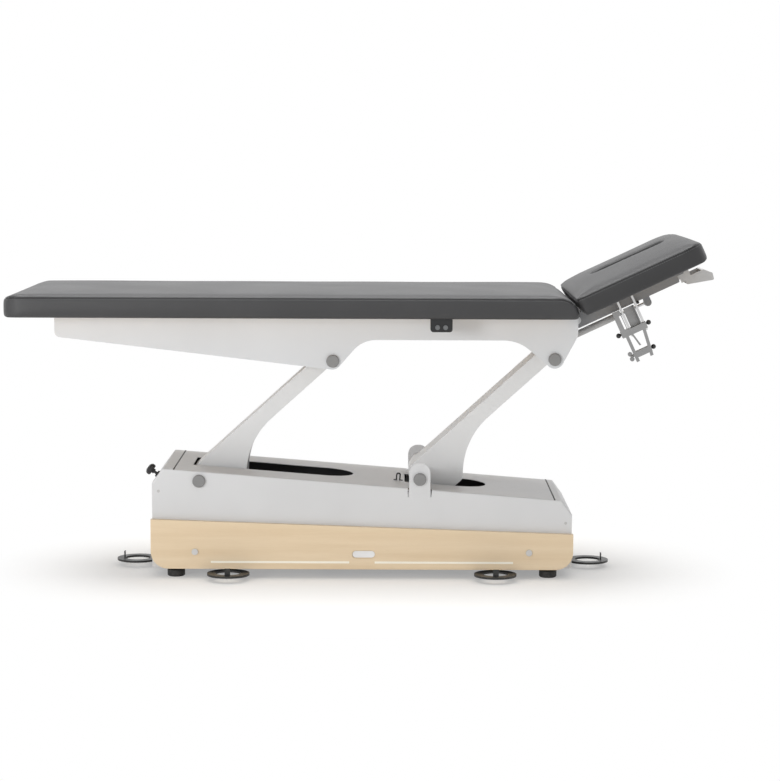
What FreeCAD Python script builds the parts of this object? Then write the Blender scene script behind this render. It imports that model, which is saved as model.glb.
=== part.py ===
import FreeCAD, Part
import os
import re
import Sketcher

Vector = FreeCAD.Vector
Placement = FreeCAD.Placement
Rotation = FreeCAD.Rotation

# Electric massage table: a low folded-sheet base with wooden side panels, two parallel lift arms,
# a level deck with one long cushion, and a tilting head section. +X is the head end, the front
# is at -Y, the floor is at Z = 0. Lengths are in millimetres and angles in degrees.

SIZES = {
    # Base shell, a folded sheet that is open below and falls towards the head end.
    "base_length": 1190,
    "base_width": 400,
    "base_sheet": 3,
    "shell_bottom": 30,
    "shell_top": 268.5,
    "shell_fall": 4.43,
    "end_chamfer": 30,
    "end_drop": 41,
    "fold_radius": 5,
    "foot_cover_run": 62,
    "head_cover_run": 50,
    "cover_gap": 0.5,
    "cover_bend": 8,
    "slot_width": 160,
    "foot_slot_lead": 26,
    "foot_slot_run": 434,
    "head_slot_lead": 42,
    "head_slot_run": 194,
    "ear_width": 60,
    "ear_height": 46,
    "ear_depth": 50,
    "ear_round": 28,
    "ear_slit": 4,
    "ear_relief": 14,
    # Lift linkage, a parallelogram of two equal arms.
    "foot_pivot_x": -462,
    "foot_pivot_z": 276.5,
    "pivot_spacing": 625,
    "pivot_rise": 7,
    "arm_length": 509.8,
    "arm_angle": 42.14,
    "arm_width": 124,
    "arm_wall": 4,
    "arm_above": 31,
    "arm_below": 13,
    "arm_end": 24,
    "arm_end_round": 16,
    "arm_foot_round": 30,
    "flare_reach": 164,
    "flare_round": 219,
    "lever_depth": 98,
    "lever_reach": 80,
    "lever_round": 18,
    "fork_width": 48,
    "fork_depth": 38,
    "window_depth": 10,
    "pivot_tube": 44,
    "shaft_diameter": 25,
    "bush_wall": 2,
    "bush_length": 30,
    "bush_flange": 3,
    "flange_gap": 0.3,
    "running_gap": 0.05,
    "seat_gap": 0.03,
    "cap_diameter": 36,
    "cap_depth": 8,
    "cap_round": 2,
    "shaft_end_gap": 1,
    # Lift actuator between the base and the head arm's lever.
    "mount_x": -110,
    "mount_z": 190,
    "lever_radius": 70,
    "lever_angle": -96,
    "actuator_pin": 12,
    "actuator_play": 7.6,
    "actuator_eye": 46,
    "mount_eye": 36,
    "mount_neck": 24,
    "eye_width": 40,
    "gearbox_start": 21,
    "gearbox_length": 66,
    "gearbox_height": 62,
    "motor_offset": 52,
    "motor_diameter": 52,
    "motor_length": 130,
    "sleeve_diameter": 36,
    "sleeve_end": 215,
    "rod_diameter": 20,
    "rod_start": 104,
    "mount_cheek": 8,
    "mount_gap": 1,
    # Chassis of rectangular tube inside the base.
    "chassis_bottom": 34,
    "rail_height": 40,
    "rail_width": 40,
    "tube_wall": 2.5,
    "rail_inset": 20,
    "end_member": 527,
    "side_member": 377,
    "pivot_plate": 8,
    "pivot_plate_foot": 130,
    "foot_plate_round": 22,
    "head_plate_round": 25,
    # Levelling feet.
    "foot_spread": 1060,
    "foot_diameter": 50,
    "foot_height": 22,
    "foot_taper": 3,
    "foot_neck": 24,
    "stem_diameter": 12,
    "stem_entry": 12,
    # Wooden side panels.
    "panel_overhang": 3,
    "panel_thickness": 18,
    "panel_bottom": 28,
    "panel_top": 149,
    "panel_fall": 1.87,
    "panel_corner": 50,
    "bolt_spread": 946,
    "bolt_height": 77,
    "bolt_head": 18,
    "bolt_head_depth": 4,
    "bolt_shank": 8,
    "bolt_grip": 20.5,
    "strip_start": 36,
    "strip_end": 428,
    "strip_height": 6,
    "strip_level": 48,
    "strip_depth": 1.5,
    "badge_x": 5,
    "badge_z": 71,
    "badge_length": 67,
    "badge_height": 23,
    "badge_recess": 4,
    "badge_plate": 1.5,
    "badge_margin": 2,
    "screw_inset": 18,
    "screw_drop": 24,
    "screw_head": 8,
    "screw_head_depth": 1.5,
    "screw_shank": 4,
    "screw_length": 12,
    # Controls and power parts in and on the base.
    "control_x": 430,
    "control_length": 170,
    "control_width": 180,
    "control_height": 55,
    "inlet_y": 120,
    "inlet_z": 96,
    "inlet_width": 48,
    "inlet_height": 28,
    "inlet_depth": 24,
    "inlet_flange": 3,
    "inlet_rim": 4,
    "knob_y": -130,
    "knob_place": 0.35,
    "knob_diameter": 33,
    "knob_height": 17,
    "knob_edge": 3,
    "knob_shoulder": 7,
    "knob_crown": 9,
    "knob_depth": 12,
    "collar_depth": 9,
    "knob_neck": 14,
    "knob_lift": 13,
    "knob_travel": 6,
    "knob_stem": 8,
    "knob_bush": 20,
    "bush_rise": 5,
    "arch_x": 102,
    "arch_y": -60,
    "arch_width": 14,
    "arch_rise": 22,
    "arch_depth": 8,
    "arch_leg": 4,
    "arch_flat": 0.5,
    "arch_foot": 6,
    # Foot control rings round the base.
    "ring_outer": 120,
    "ring_inner": 72,
    "ring_thickness": 6,
    "ring_level": 15,
    "ring_reach": 130,
    "ring_pin": 6,
    "ring_pin_rise": 9,
    "ring_lug": 14,
    "ring_pad": 4,
    "ring_lug_width": 17,
    "ring_cheek": 4,
    "ring_cheek_gap": 0.5,
    "tab_height": 19,
    "tab_width": 16,
    "tab_thickness": 3,
    "tab_inset": 20,
    "side_pedal_y": 110,
    # Deck, from the foot arm's upper pivot.
    "deck_width": 400,
    "deck_plate": 5,
    "deck_height": 127.5,
    "deck_foot_reach": 782,
    "deck_head_reach": 690,
    "deck_foot_round": 17,
    "deck_head_round": 28,
    "keel_angle": 6.6,
    "foot_flank_angle": 49,
    "head_flank_angle": 40.2,
    "rise_angle": 62,
    "foot_boss": 24,
    "head_boss": 26,
    "arch_height": 60,
    "foot_arch_round": 83,
    "head_arch_round": 110,
    "crossbar_height": 40,
    "crossbar_width": 40,
    "first_crossbar": -740,
    "crossbar_pitch": 460,
    # Main cushion and its board.
    "cushion_foot_reach": 900,
    "cushion_head_reach": 688,
    "cushion_width": 650,
    "cushion_height": 67,
    "soft_gap": 0.3,
    "foot_nose": 26,
    "head_nose": 58,
    "foot_plan_round": 45,
    "head_plan_round": 24,
    "seam_round": 6,
    "board_thickness": 15,
    "board_inset": 25,
    # Switch box under the front edge of the board.
    "switch_x": 303.5,
    "switch_length": 61,
    "switch_height": 36,
    "switch_front": 306,
    "switch_depth": 42,
    "switch_round": 8,
    "button_spacing": 22,
    "button_rise": 104.5,
    "button_diameter": 13,
    "button_stand": 3,
    "button_sink": 4,
    "button_play": 0.4,
    # Head section, from its hinge.
    "hinge_reach": 688,
    "hinge_height": 115,
    "head_tilt": 25,
    "head_start": 20,
    "head_length": 371,
    "head_bottom": 18.5,
    "head_height": 61,
    "head_nose_round": 26,
    "head_corner": 55,
    "face_slot_middle": 213,
    "face_slot_length": 220,
    "face_slot_width": 75,
    "head_rail_y": 150,
    "head_rail_width": 20,
    "head_rail_height": 42,
    "head_rail_end": 309,
    "rail_corner": 4,
    "rail_toe": 6,
    "rail_waist": 9,
    "lever_lug": 4,
    "lever_play": 1,
    "lever_pin_run": 6,
    "hinge_eye": 24,
    "hinge_pin": 12,
    "hinge_cheek": 8,
    "hinge_cheek_gap": 1,
    "head_tube": 20,
    "near_tube": 70,
    # Gas spring of the head section.
    "spring_y": -125,
    "spring_root_u": -35,
    "spring_v": -40.5,
    "spring_tip_u": 205,
    "spring_diameter": 19,
    "spring_bore": 15,
    "spring_neck": 9,
    "spring_base": 3,
    "spring_gland": 6,
    "spring_piston": 8,
    "spring_slack": 0.5,
    "spring_body_start": 15,
    "spring_body_end": 143,
    "spring_rod": 8,
    "spring_rod_start": 68,
    "spring_eye": 20,
    "spring_eye_width": 10,
    "spring_eye_wall": 3,
    "spring_pin": 8,
    "spring_play": 4.5,
    "spring_cheek": 6,
    # Release lever of the gas spring.
    "lever_pin_u": 330,
    "lever_pin_v": -8,
    "lever_pin": 8,
    "paddle_start": 334,
    "paddle_end": 410,
    "paddle_drop": 30,
    "paddle_slope": 20,
    "paddle_depth": 20,
    "paddle_width": 110,
    "paddle_sheet": 2.5,
    "paddle_fold": 4,
    "paddle_lip": 4,
    "paddle_back": 16,
    "paddle_top": 24,
    "paddle_strap": 20,
    # Hanging arm support on the near rail.
    "hanger_first": 125,
    "hanger_pitch": 43.5,
    "hanger_thickness": 6,
    "hanger_width": 18,
    "hanger_top": 8,
    "hanger_bottom": -106,
    "carriage_gap": 0.2,
    "carriage_left": 97,
    "carriage_right": 173.3,
    "carriage_top": -82,
    "carriage_block": 18,
    "carriage_inner": 157,
    "carriage_outer": 187,
    "strap": 5,
    "slot_strap_right": 119,
    "slot_strap_top": -22,
    "slot_left": 111,
    "slot_width_small": 6,
    "slot_end_round": 2.9,
    "slot_top": -37,
    "slot_bottom": -79,
    "lower_strap_left": 105,
    "lower_strap_width": 9,
    "lower_strap_end": -177,
    "lower_bracket_top": 157,
    "lower_bracket_end": 147,
    "lower_bracket_width": 9,
    "lower_block_left": 106,
    "lower_block_right": 158,
    "lower_block_top": -149,
    "lower_block_height": 17,
    "channel_left": 131,
    "channel_right": 162,
    "channel_top": -26,
    "channel_sheet": 3,
    "link_start": 123,
    "link_end": 131,
    "link_width": 5,
    "link_drop": 37,
    "clamp_ball": 14,
    "clamp_neck": 2,
    "clamp_level": -89,
    "rail_ball": 9,
    "rail_level": -25.5,
    "wing_lobe": 13,
    "wing_thickness": 4,
    "wing_spread": 15,
    "wing_reach": 9,
    "wing_hub": 8,
    # How far a cutting tool or a welded piece reaches past the face it meets.
    "overlap": 1,
}

document = FreeCAD.newDocument("massage_table")
sheet = document.addObject("Spreadsheet::Sheet", "sizes")
for row, (size_name, size) in enumerate(SIZES.items(), start=1):
    sheet.set(f"A{row}", size_name)
    sheet.set(f"B{row}", str(size))
    sheet.setAlias(f"B{row}", size_name)
document.recompute()

WORD = re.compile(r"[a-z][a-z_]*")


def bound(text):
    """The expression with the sheet's name before each of its sizes."""
    return WORD.sub(lambda word: "sizes." + word[0] if word[0] in SIZES else word[0], text)


def number(text):
    """The expression's value now."""
    value = sheet.evalExpression(bound(text))
    return float(getattr(value, "Value", value))


def bind(piece, name, text):
    piece.setExpression(name, bound(text))


def place(piece, x, y, z):
    for axis, text in zip("xyz", (x, y, z)):
        bind(piece, "Placement.Base." + axis, text)


def block(x, y, z):
    """A box between two planes on each axis."""
    piece = document.addObject("Part::Box", "block")
    for axis, side, (low, high) in zip("xyz", ("Length", "Width", "Height"), (x, y, z)):
        bind(piece, "Placement.Base." + axis, low)
        bind(piece, side, f"({high}) - ({low})")
    return piece


AXIS_TURNS = {
    "x": Rotation(Vector(0, 1, 0), 90),
    "y": Rotation(Vector(-1, 0, 0), 90),
    "z": Rotation(),
}


def rod(axis, diameter, along, across):
    """A round bar along an axis between two planes, at two coordinates across it."""
    piece = document.addObject("Part::Cylinder", "rod")
    piece.Placement = Placement(Vector(), AXIS_TURNS[axis])
    bind(piece, "Radius", f"({diameter}) / 2")
    bind(piece, "Height", f"({along[1]}) - ({along[0]})")
    start = list(across)
    start.insert("xyz".index(axis), along[0])
    place(piece, *start)
    return piece


def fuse(*pieces):
    joined = document.addObject("Part::MultiFuse", "fuse")
    joined.Shapes = pieces
    return joined


def cut(piece, *tools):
    opened = document.addObject("Part::Cut", "cut")
    opened.Base = piece
    opened.Tool = tools[0] if len(tools) == 1 else fuse(*tools)
    return opened


def common(first, second):
    shared = document.addObject("Part::Common", "common")
    shared.Base = first
    shared.Tool = second
    return shared


def group(*pieces):
    """Like pieces that share a node and stay separate solids."""
    together = document.addObject("Part::Compound", "group")
    together.Links = pieces
    return together


# Each view has its plane, the sense of its normal, and the axes that a sketch on it runs along.
VIEWS = {
    "side": ("XZ_Plane", -1, "xz"),
    "plan": ("XY_Plane", 1, "xy"),
    "front": ("YZ_Plane", 1, "yz"),
}


def sketch_on(body, view, middle):
    plane, sense, _ = VIEWS[view]
    sketch = body.newObject("Sketcher::SketchObject", "outline")
    support = next(item for item in body.Origin.OriginFeatures if item.Role == plane)
    sketch.AttachmentSupport = [(support, "")]
    sketch.MapMode = "FlatFace"
    bind(sketch, "AttachmentOffset.Base.z", f"{sense} * ({middle})")
    return sketch


def draw_outline(sketch, corners):
    """A closed outline of straight runs, each corner held by its two coordinates."""
    points = [Vector(number(corner[0]), number(corner[1]), 0) for corner in corners]
    count = len(points)
    for index in range(count):
        sketch.addGeometry(Part.LineSegment(points[index], points[(index + 1) % count]))
    for index in range(count):
        sketch.addConstraint(Sketcher.Constraint("Coincident", index, 2, (index + 1) % count, 1))
    for index, corner in enumerate(corners):
        for kind, text, value in zip(("DistanceX", "DistanceY"), corner, points[index]):
            held = sketch.addConstraint(Sketcher.Constraint(kind, -1, 1, index, 1, value))
            sketch.setExpression(f"Constraints[{held}]", bound(text))


def draw_circle(sketch, across, up, diameter):
    middle = Vector(number(across), number(up), 0)
    circle = sketch.addGeometry(Part.Circle(middle, Vector(0, 0, 1), number(diameter) / 2))
    for kind, text, value in zip(("DistanceX", "DistanceY"), (across, up), middle):
        held = sketch.addConstraint(Sketcher.Constraint(kind, -1, 1, circle, 3, value))
        sketch.setExpression(f"Constraints[{held}]", bound(text))
    held = sketch.addConstraint(Sketcher.Constraint("Diameter", circle, number(diameter)))
    sketch.setExpression(f"Constraints[{held}]", bound(diameter))


def raise_profile(body, kind, sketch, thickness):
    """A pad or pocket of equal depth to both sides of its sketch."""
    feature = body.newObject("PartDesign::" + kind, kind.lower())
    feature.Profile = sketch
    feature.SideType = "Symmetric"
    bind(feature, "Length", thickness)
    document.recompute()
    return feature


def pad(body, view, corners, thickness, middle="0"):
    sketch = sketch_on(body, view, middle)
    draw_outline(sketch, corners)
    raise_profile(body, "Pad", sketch, thickness)
    round_corners(body, view, corners)


def disc(body, view, across, up, diameter, thickness, middle="0"):
    sketch = sketch_on(body, view, middle)
    draw_circle(sketch, across, up, diameter)
    raise_profile(body, "Pad", sketch, thickness)


def pocket(body, view, corners, thickness, middle="0"):
    sketch = sketch_on(body, view, middle)
    draw_outline(sketch, corners)
    before = body.Shape.Volume
    raise_profile(body, "Pocket", sketch, thickness)
    assert body.Shape.Volume < before, body.Label
    round_corners(body, view, corners)


def bore(body, view, across, up, diameter, thickness, middle="0"):
    sketch = sketch_on(body, view, middle)
    draw_circle(sketch, across, up, diameter)
    before = body.Shape.Volume
    raise_profile(body, "Pocket", sketch, thickness)
    assert body.Shape.Volume < before, body.Label


def fillet(body, radius, chosen):
    """Rounds the edges of the body so far that the test picks."""
    feature = body.newObject("PartDesign::Fillet", "fillet")
    base = body.Tip if body.Tip != feature else feature.BaseFeature
    names = [f"Edge{index}" for index, edge in enumerate(base.Shape.Edges, 1) if chosen(edge)]
    assert names, body.Label
    feature.Base = (base, names)
    bind(feature, "Radius", radius)
    document.recompute()


def round_corners(body, view, corners):
    """Rounds each outline corner that has a radius, along the edge that crosses the view."""
    first, second = VIEWS[view][2]
    for corner in corners:
        if len(corner) < 3:
            continue
        across, up = number(corner[0]), number(corner[1])

        def at_corner(edge):
            ends = [vertex.Point for vertex in edge.Vertexes]
            return len(ends) == 2 and all(
                abs(getattr(end, first) - across) < 0.01 and abs(getattr(end, second) - up) < 0.01
                for end in ends
            )

        fillet(body, corner[2], at_corner)


def plate(name, view, corners, thickness, middle="0"):
    body = document.addObject("PartDesign::Body", name)
    pad(body, view, corners, thickness, middle)
    return body


def turned(name, corners):
    """A turned piece on the Z axis; corners hold a radius and a height."""
    body = document.addObject("PartDesign::Body", name)
    sketch = sketch_on(body, "side", "0")
    draw_outline(sketch, corners)
    feature = body.newObject("PartDesign::Revolution", "turning")
    feature.Profile = sketch
    feature.ReferenceAxis = (sketch, ["V_Axis"])
    feature.Angle = 360
    document.recompute()
    return body


def rectangle(left, right, low, high):
    return [(left, low), (right, low), (right, high), (left, high)]


# Frames that carry the sub-parts: where each origin is, and how far it turns up from level.
DECK_X = "(foot_pivot_x + arm_length * cos(arm_angle))"
DECK_Z = "(foot_pivot_z + arm_length * sin(arm_angle))"
HEAD_PIVOT_X = "(foot_pivot_x + pivot_spacing)"
HEAD_PIVOT_Z = "(foot_pivot_z + pivot_rise)"
HINGE_X = f"({DECK_X} + hinge_reach)"
HINGE_Z = f"({DECK_Z} + hinge_height)"
LEVER_X = f"({HEAD_PIVOT_X} + lever_radius * cos(arm_angle + lever_angle))"
LEVER_Z = f"({HEAD_PIVOT_Z} + lever_radius * sin(arm_angle + lever_angle))"
SPRING_X = f"({HINGE_X} + spring_root_u * cos(head_tilt) - spring_v * sin(head_tilt))"
SPRING_Z = f"({HINGE_Z} + spring_root_u * sin(head_tilt) + spring_v * cos(head_tilt))"
FRAMES = {
    "foot_arm": ("foot_pivot_x", "foot_pivot_z", "arm_angle"),
    "head_arm": (HEAD_PIVOT_X, HEAD_PIVOT_Z, "arm_angle"),
    "deck": (DECK_X, DECK_Z, None),
    "head": (HINGE_X, HINGE_Z, "head_tilt"),
    "actuator": ("mount_x", "mount_z", f"atan2({LEVER_Z} - mount_z; {LEVER_X} - mount_x)"),
    "spring": (SPRING_X, SPRING_Z, "head_tilt"),
}
nodes = []


def node(label, piece, frame=None):
    """Files a finished sub-part under its name, carried by its frame."""
    if frame:
        x, z, angle = FRAMES[frame]
        carried = document.addObject("Part::Compound", label)
        carried.Links = [piece]
        if angle:
            carried.Placement = Placement(Vector(), Rotation(Vector(0, -1, 0), 1))
            bind(carried, "Placement.Rotation.Angle", angle)
        place(carried, x, "0", z)
        piece = carried
    piece.Label = label
    nodes.append(piece)


# Base shell: the side profile raised to the full width, hollowed from below, its end zones
# opened for the covers, and two ears left standing for the head arm's pivot.

FOOT_END = "(-base_length / 2)"
HEAD_END = "(base_length / 2)"
HALF = "(base_width / 2)"
PANEL_END = "(base_length / 2 + panel_overhang)"
INSIDE = "(base_width / 2 - base_sheet)"
FOOT_SEAM = f"({FOOT_END} + foot_cover_run)"
HEAD_SEAM = f"({HEAD_END} - head_cover_run)"
EAR_LEFT = f"({HEAD_PIVOT_X} - ear_width / 2)"
EAR_RIGHT = f"({HEAD_PIVOT_X} + ear_width / 2)"
EAR_ROOT = f"({HEAD_PIVOT_Z} - ear_depth)"
EAR_TOP = f"({HEAD_PIVOT_Z} + ear_height)"
FOOT_SHOULDER = f"({FOOT_END} + end_chamfer)"
HEAD_SHOULDER = f"({HEAD_END} - end_chamfer)"


def shell_level(x, drop="0"):
    """Height of the sloping top at a place along the base, less a drop."""
    return f"(shell_top - ({x}) * tan(shell_fall) - ({drop}))"


SHEET_DROP = "base_sheet / cos(shell_fall)"
FOOT_CORNER = shell_level(FOOT_SHOULDER, "end_drop")
HEAD_CORNER = shell_level(HEAD_SHOULDER, "end_drop")
shell = plate("shell_folds", "side", [
    (FOOT_END, "shell_bottom"),
    (HEAD_END, "shell_bottom"),
    (HEAD_END, HEAD_CORNER),
    (HEAD_SHOULDER, shell_level(HEAD_SHOULDER)),
    (FOOT_SHOULDER, shell_level(FOOT_SHOULDER)),
    (FOOT_END, FOOT_CORNER),
], "base_width")
half_width = number(HALF)
lowest_fold = number(HEAD_CORNER)


def on_fold(edge):
    ends = [vertex.Point for vertex in edge.Vertexes]
    return all(abs(abs(end.y) - half_width) < 0.01 and end.z > lowest_fold - 0.01 for end in ends)


fillet(shell, "fold_radius", on_fold)
ABOVE = "(shell_top + base_length)"
pocket(shell, "side", [
    (f"{FOOT_END} - base_sheet", "shell_bottom - base_sheet"),
    (f"{HEAD_END} + base_sheet", "shell_bottom - base_sheet"),
    (f"{HEAD_END} + base_sheet", ABOVE),
    (HEAD_SEAM, ABOVE),
    (HEAD_SEAM, shell_level(HEAD_SEAM, SHEET_DROP)),
    (FOOT_SEAM, shell_level(FOOT_SEAM, SHEET_DROP)),
    (FOOT_SEAM, ABOVE),
    (f"{FOOT_END} - base_sheet", ABOVE),
], f"2 * {INSIDE}")
for side in ("-1", "1"):
    inner = f"{side} * ({HALF} - ear_relief)"
    outer = f"{side} * ({HALF} + base_sheet)"
    pocket(shell, "plan", rectangle(
        f"{EAR_LEFT} - ear_slit", f"{EAR_RIGHT} + ear_slit", inner, outer,
    ), "ear_depth", f"{EAR_ROOT} + ear_depth / 2")
    pad(shell, "side", [
        (EAR_LEFT, f"{EAR_ROOT} - base_sheet"),
        (EAR_RIGHT, f"{EAR_ROOT} - base_sheet"),
        (EAR_RIGHT, EAR_TOP, "ear_round"),
        (EAR_LEFT, EAR_TOP, "ear_round"),
    ], "base_sheet", f"{side} * ({HALF} - base_sheet / 2)")
SHAFT_HOLE = "(shaft_diameter + 2 * running_gap)"
bore(shell, "side", "foot_pivot_x", "foot_pivot_z", SHAFT_HOLE, "base_width + overlap")
bore(shell, "side", HEAD_PIVOT_X, HEAD_PIVOT_Z, SHAFT_HOLE, "base_width + overlap")


def arm_slot(pivot, lead, run):
    """The opening in the top that an arm sinks into, round at its head end."""
    heights = (EAR_ROOT, ABOVE)
    straight = block((f"{pivot} - {lead}", f"{pivot} + {run} - slot_width / 2"),
                     ("-slot_width / 2", "slot_width / 2"), heights)
    return straight, rod("z", "slot_width", heights, (f"{pivot} + {run} - slot_width / 2", "0"))


def across_both(diameter, x, z, reach_in, reach_out):
    """Round bars at the same place on both sides, from one distance to another off the middle."""
    return (rod("y", diameter, (f"-({reach_out})", f"-({reach_in})"), (x, z)),
            rod("y", diameter, (reach_in, reach_out), (x, z)))


PANEL_BOLTS = (("-bolt_spread / 2", "bolt_height"), ("bolt_spread / 2", "bolt_height"))
COVER_SCREWS = (
    (f"{FOOT_END} + screw_inset", f"{FOOT_CORNER} - screw_drop"),
    (f"{HEAD_END} - screw_inset", f"{HEAD_CORNER} - screw_drop"),
)
bolt_holes = []
for bolt_x, bolt_z in PANEL_BOLTS:
    bolt_holes += across_both("bolt_shank + 2 * running_gap", bolt_x, bolt_z, f"{INSIDE} - overlap",
                              f"{HALF} + panel_thickness + overlap")
screw_holes = []
for screw_x, screw_z in COVER_SCREWS:
    screw_holes += across_both("screw_shank + 2 * running_gap", screw_x, screw_z,
                               f"{INSIDE} - overlap", f"{HALF} + overlap")
node("base_shell", cut(shell, *arm_slot("foot_pivot_x", "foot_slot_lead", "foot_slot_run"),
                       *arm_slot(HEAD_PIVOT_X, "head_slot_lead", "head_slot_run"),
                       *bolt_holes, *screw_holes))

# End covers: folded strips that close the shell's ends between its sides.

COVER_WIDTH = f"(2 * ({INSIDE} - cover_gap))"


def end_cover(name, end, shoulder, corner, seam):
    """A filled end, thinned to its sheet by opening the faces that the cover lacks."""
    body = plate(name, "side", [
        (seam, "shell_bottom"),
        (seam, shell_level(seam)),
        (shoulder, shell_level(shoulder), "cover_bend"),
        (end, corner, "cover_bend"),
        (end, "shell_bottom"),
    ], COVER_WIDTH)
    base = body.Tip
    seam_x, bottom, side = number(seam), number("shell_bottom"), number(COVER_WIDTH) / 2
    opened = []
    for index, face in enumerate(base.Shape.Faces, 1):
        box = face.BoundBox
        at_seam = abs(box.XMin - seam_x) < 0.01 and abs(box.XMax - seam_x) < 0.01
        at_side = abs(abs(box.YMin) - side) < 0.01 and abs(box.YMax - box.YMin) < 0.01
        if at_seam or at_side or abs(box.ZMax - bottom) < 0.01:
            opened.append(f"Face{index}")
    thinned = body.newObject("PartDesign::Thickness", "thinned")
    thinned.Base = (base, opened)
    thinned.Mode = 0
    thinned.Join = 1
    thinned.Reversed = True
    bind(thinned, "Value", "base_sheet")
    document.recompute()
    return body


foot_cover = end_cover("foot_cover_folds", FOOT_END, FOOT_SHOULDER, FOOT_CORNER,
                       f"({FOOT_SEAM} - cover_gap)")
head_cover = end_cover("head_cover_folds", HEAD_END, HEAD_SHOULDER, HEAD_CORNER,
                       f"({HEAD_SEAM} + cover_gap)")

# Lock knob: a mushroom button on the foot-end chamfer that blocks the foot rings when it is in.

KNOB_X = f"({FOOT_END} + knob_place * end_chamfer)"
KNOB_Z = f"({FOOT_CORNER} + knob_place * end_drop)"
bush_bore = document.addObject("Part::Cylinder", "bush_bore")
bind(bush_bore, "Radius", "knob_bush / 2 - bush_wall + seat_gap")
bind(bush_bore, "Height", "knob_bush")
knob_collar = turned("knob_collar", [
    ("knob_stem / 2 + running_gap", "-collar_depth"),
    ("knob_bush / 2 - bush_wall", "-collar_depth"),
    ("knob_bush / 2 - bush_wall", "0"),
    ("knob_bush / 2", "0"),
    ("knob_bush / 2", "bush_rise / 2"),
    ("knob_bush / 2 - bush_wall", "bush_rise"),
    ("knob_stem / 2 + running_gap", "bush_rise"),
])
knob_mushroom = turned("knob_mushroom", [
    ("0", "-knob_depth"),
    ("knob_stem / 2", "-knob_depth"),
    ("knob_stem / 2", "bush_rise + knob_travel + overlap"),
    ("knob_neck / 2", "bush_rise + knob_travel + overlap"),
    ("knob_neck / 2", "knob_lift + bush_rise"),
    ("knob_diameter / 2 - knob_edge", "knob_lift + bush_rise"),
    ("knob_diameter / 2", "knob_lift + bush_rise + knob_edge"),
    ("knob_diameter / 2", "knob_lift + bush_rise + knob_height - knob_shoulder"),
    ("knob_diameter / 2 - knob_edge", "knob_lift + bush_rise + knob_height - knob_edge"),
    ("knob_diameter / 2 - knob_crown", "knob_lift + bush_rise + knob_height"),
    ("0", "knob_lift + bush_rise + knob_height"),
])
for leaning, sink in ((bush_bore, "2 * base_sheet"), (knob_collar, "0"), (knob_mushroom, "0")):
    leaning.Placement = Placement(Vector(), Rotation(Vector(0, -1, 0), 1))
    bind(leaning, "Placement.Rotation.Angle", "atan(end_drop / end_chamfer)")
    reach = f"({sink}) / sqrt(end_drop ^ 2 + end_chamfer ^ 2)"
    place(leaning, f"{KNOB_X} + end_drop * {reach}", "knob_y", f"{KNOB_Z} - end_chamfer * {reach}")
node("foot_end_cover", cut(foot_cover, bush_bore))
node("lock_knob_bush", knob_collar)
node("lock_knob", knob_mushroom)

# Mains inlet in the head end cover.

INLET_Y = ("inlet_y - inlet_width / 2", "inlet_y + inlet_width / 2")
INLET_Z = ("inlet_z - inlet_height / 2", "inlet_z + inlet_height / 2")
inlet_cut = block((f"{HEAD_END} - 2 * base_sheet", f"{HEAD_END} + base_sheet"),
                  (f"{INLET_Y[0]} - cover_gap", f"{INLET_Y[1]} + cover_gap"),
                  (f"{INLET_Z[0]} - cover_gap", f"{INLET_Z[1]} + cover_gap"))
node("head_end_cover", cut(head_cover, inlet_cut))
inlet = fuse(
    block((f"{HEAD_END} - inlet_depth", f"{HEAD_END} + inlet_flange / 2"), INLET_Y, INLET_Z),
    block((HEAD_END, f"{HEAD_END} + inlet_flange"),
          (f"{INLET_Y[0]} - inlet_rim", f"{INLET_Y[1]} + inlet_rim"),
          (f"{INLET_Z[0]} - inlet_rim", f"{INLET_Z[1]} + inlet_rim")),
)
socket = block((f"{HEAD_END} - inlet_depth + inlet_rim", f"{HEAD_END} + 2 * inlet_flange"),
               (f"{INLET_Y[0]} + inlet_rim", f"{INLET_Y[1]} - inlet_rim"),
               (f"{INLET_Z[0]} + inlet_rim", f"{INLET_Z[1]} - inlet_rim"))
node("mains_inlet", cut(inlet, socket))

# Chassis: two long rails and cross members of rectangular tube, welded into one frame, with two
# cheeks and a pin on the member that takes the actuator's force.

RAIL_OUT = f"({INSIDE} - pivot_plate)"
RAIL_IN = f"({RAIL_OUT} - rail_width)"
CHASSIS_TOP = "(chassis_bottom + rail_height)"
RAIL_END = "(base_length / 2 - rail_inset)"
MEMBERS = ("-end_member", "-side_member", "mount_x", "side_member", "end_member")


def tube_frame(shrink):
    """Every tube of the chassis at once, smaller by the wall for their inner spaces."""
    tubes = []
    heights = (f"chassis_bottom + {shrink}", f"{CHASSIS_TOP} - {shrink}")
    for side in ("-1", "1"):
        edges = sorted((f"{side} * ({RAIL_OUT} - {shrink})", f"{side} * ({RAIL_IN} + {shrink})"),
                       key=number)
        tubes.append(block((f"-{RAIL_END} - ({shrink})", f"{RAIL_END} + ({shrink})"), edges,
                           heights))
    for middle in MEMBERS:
        tubes.append(block((f"{middle} - rail_width / 2 + {shrink}",
                            f"{middle} + rail_width / 2 - {shrink}"),
                           (f"-{RAIL_IN} - ({shrink})", f"{RAIL_IN} + ({shrink})"), heights))
    return fuse(*tubes)


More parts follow.
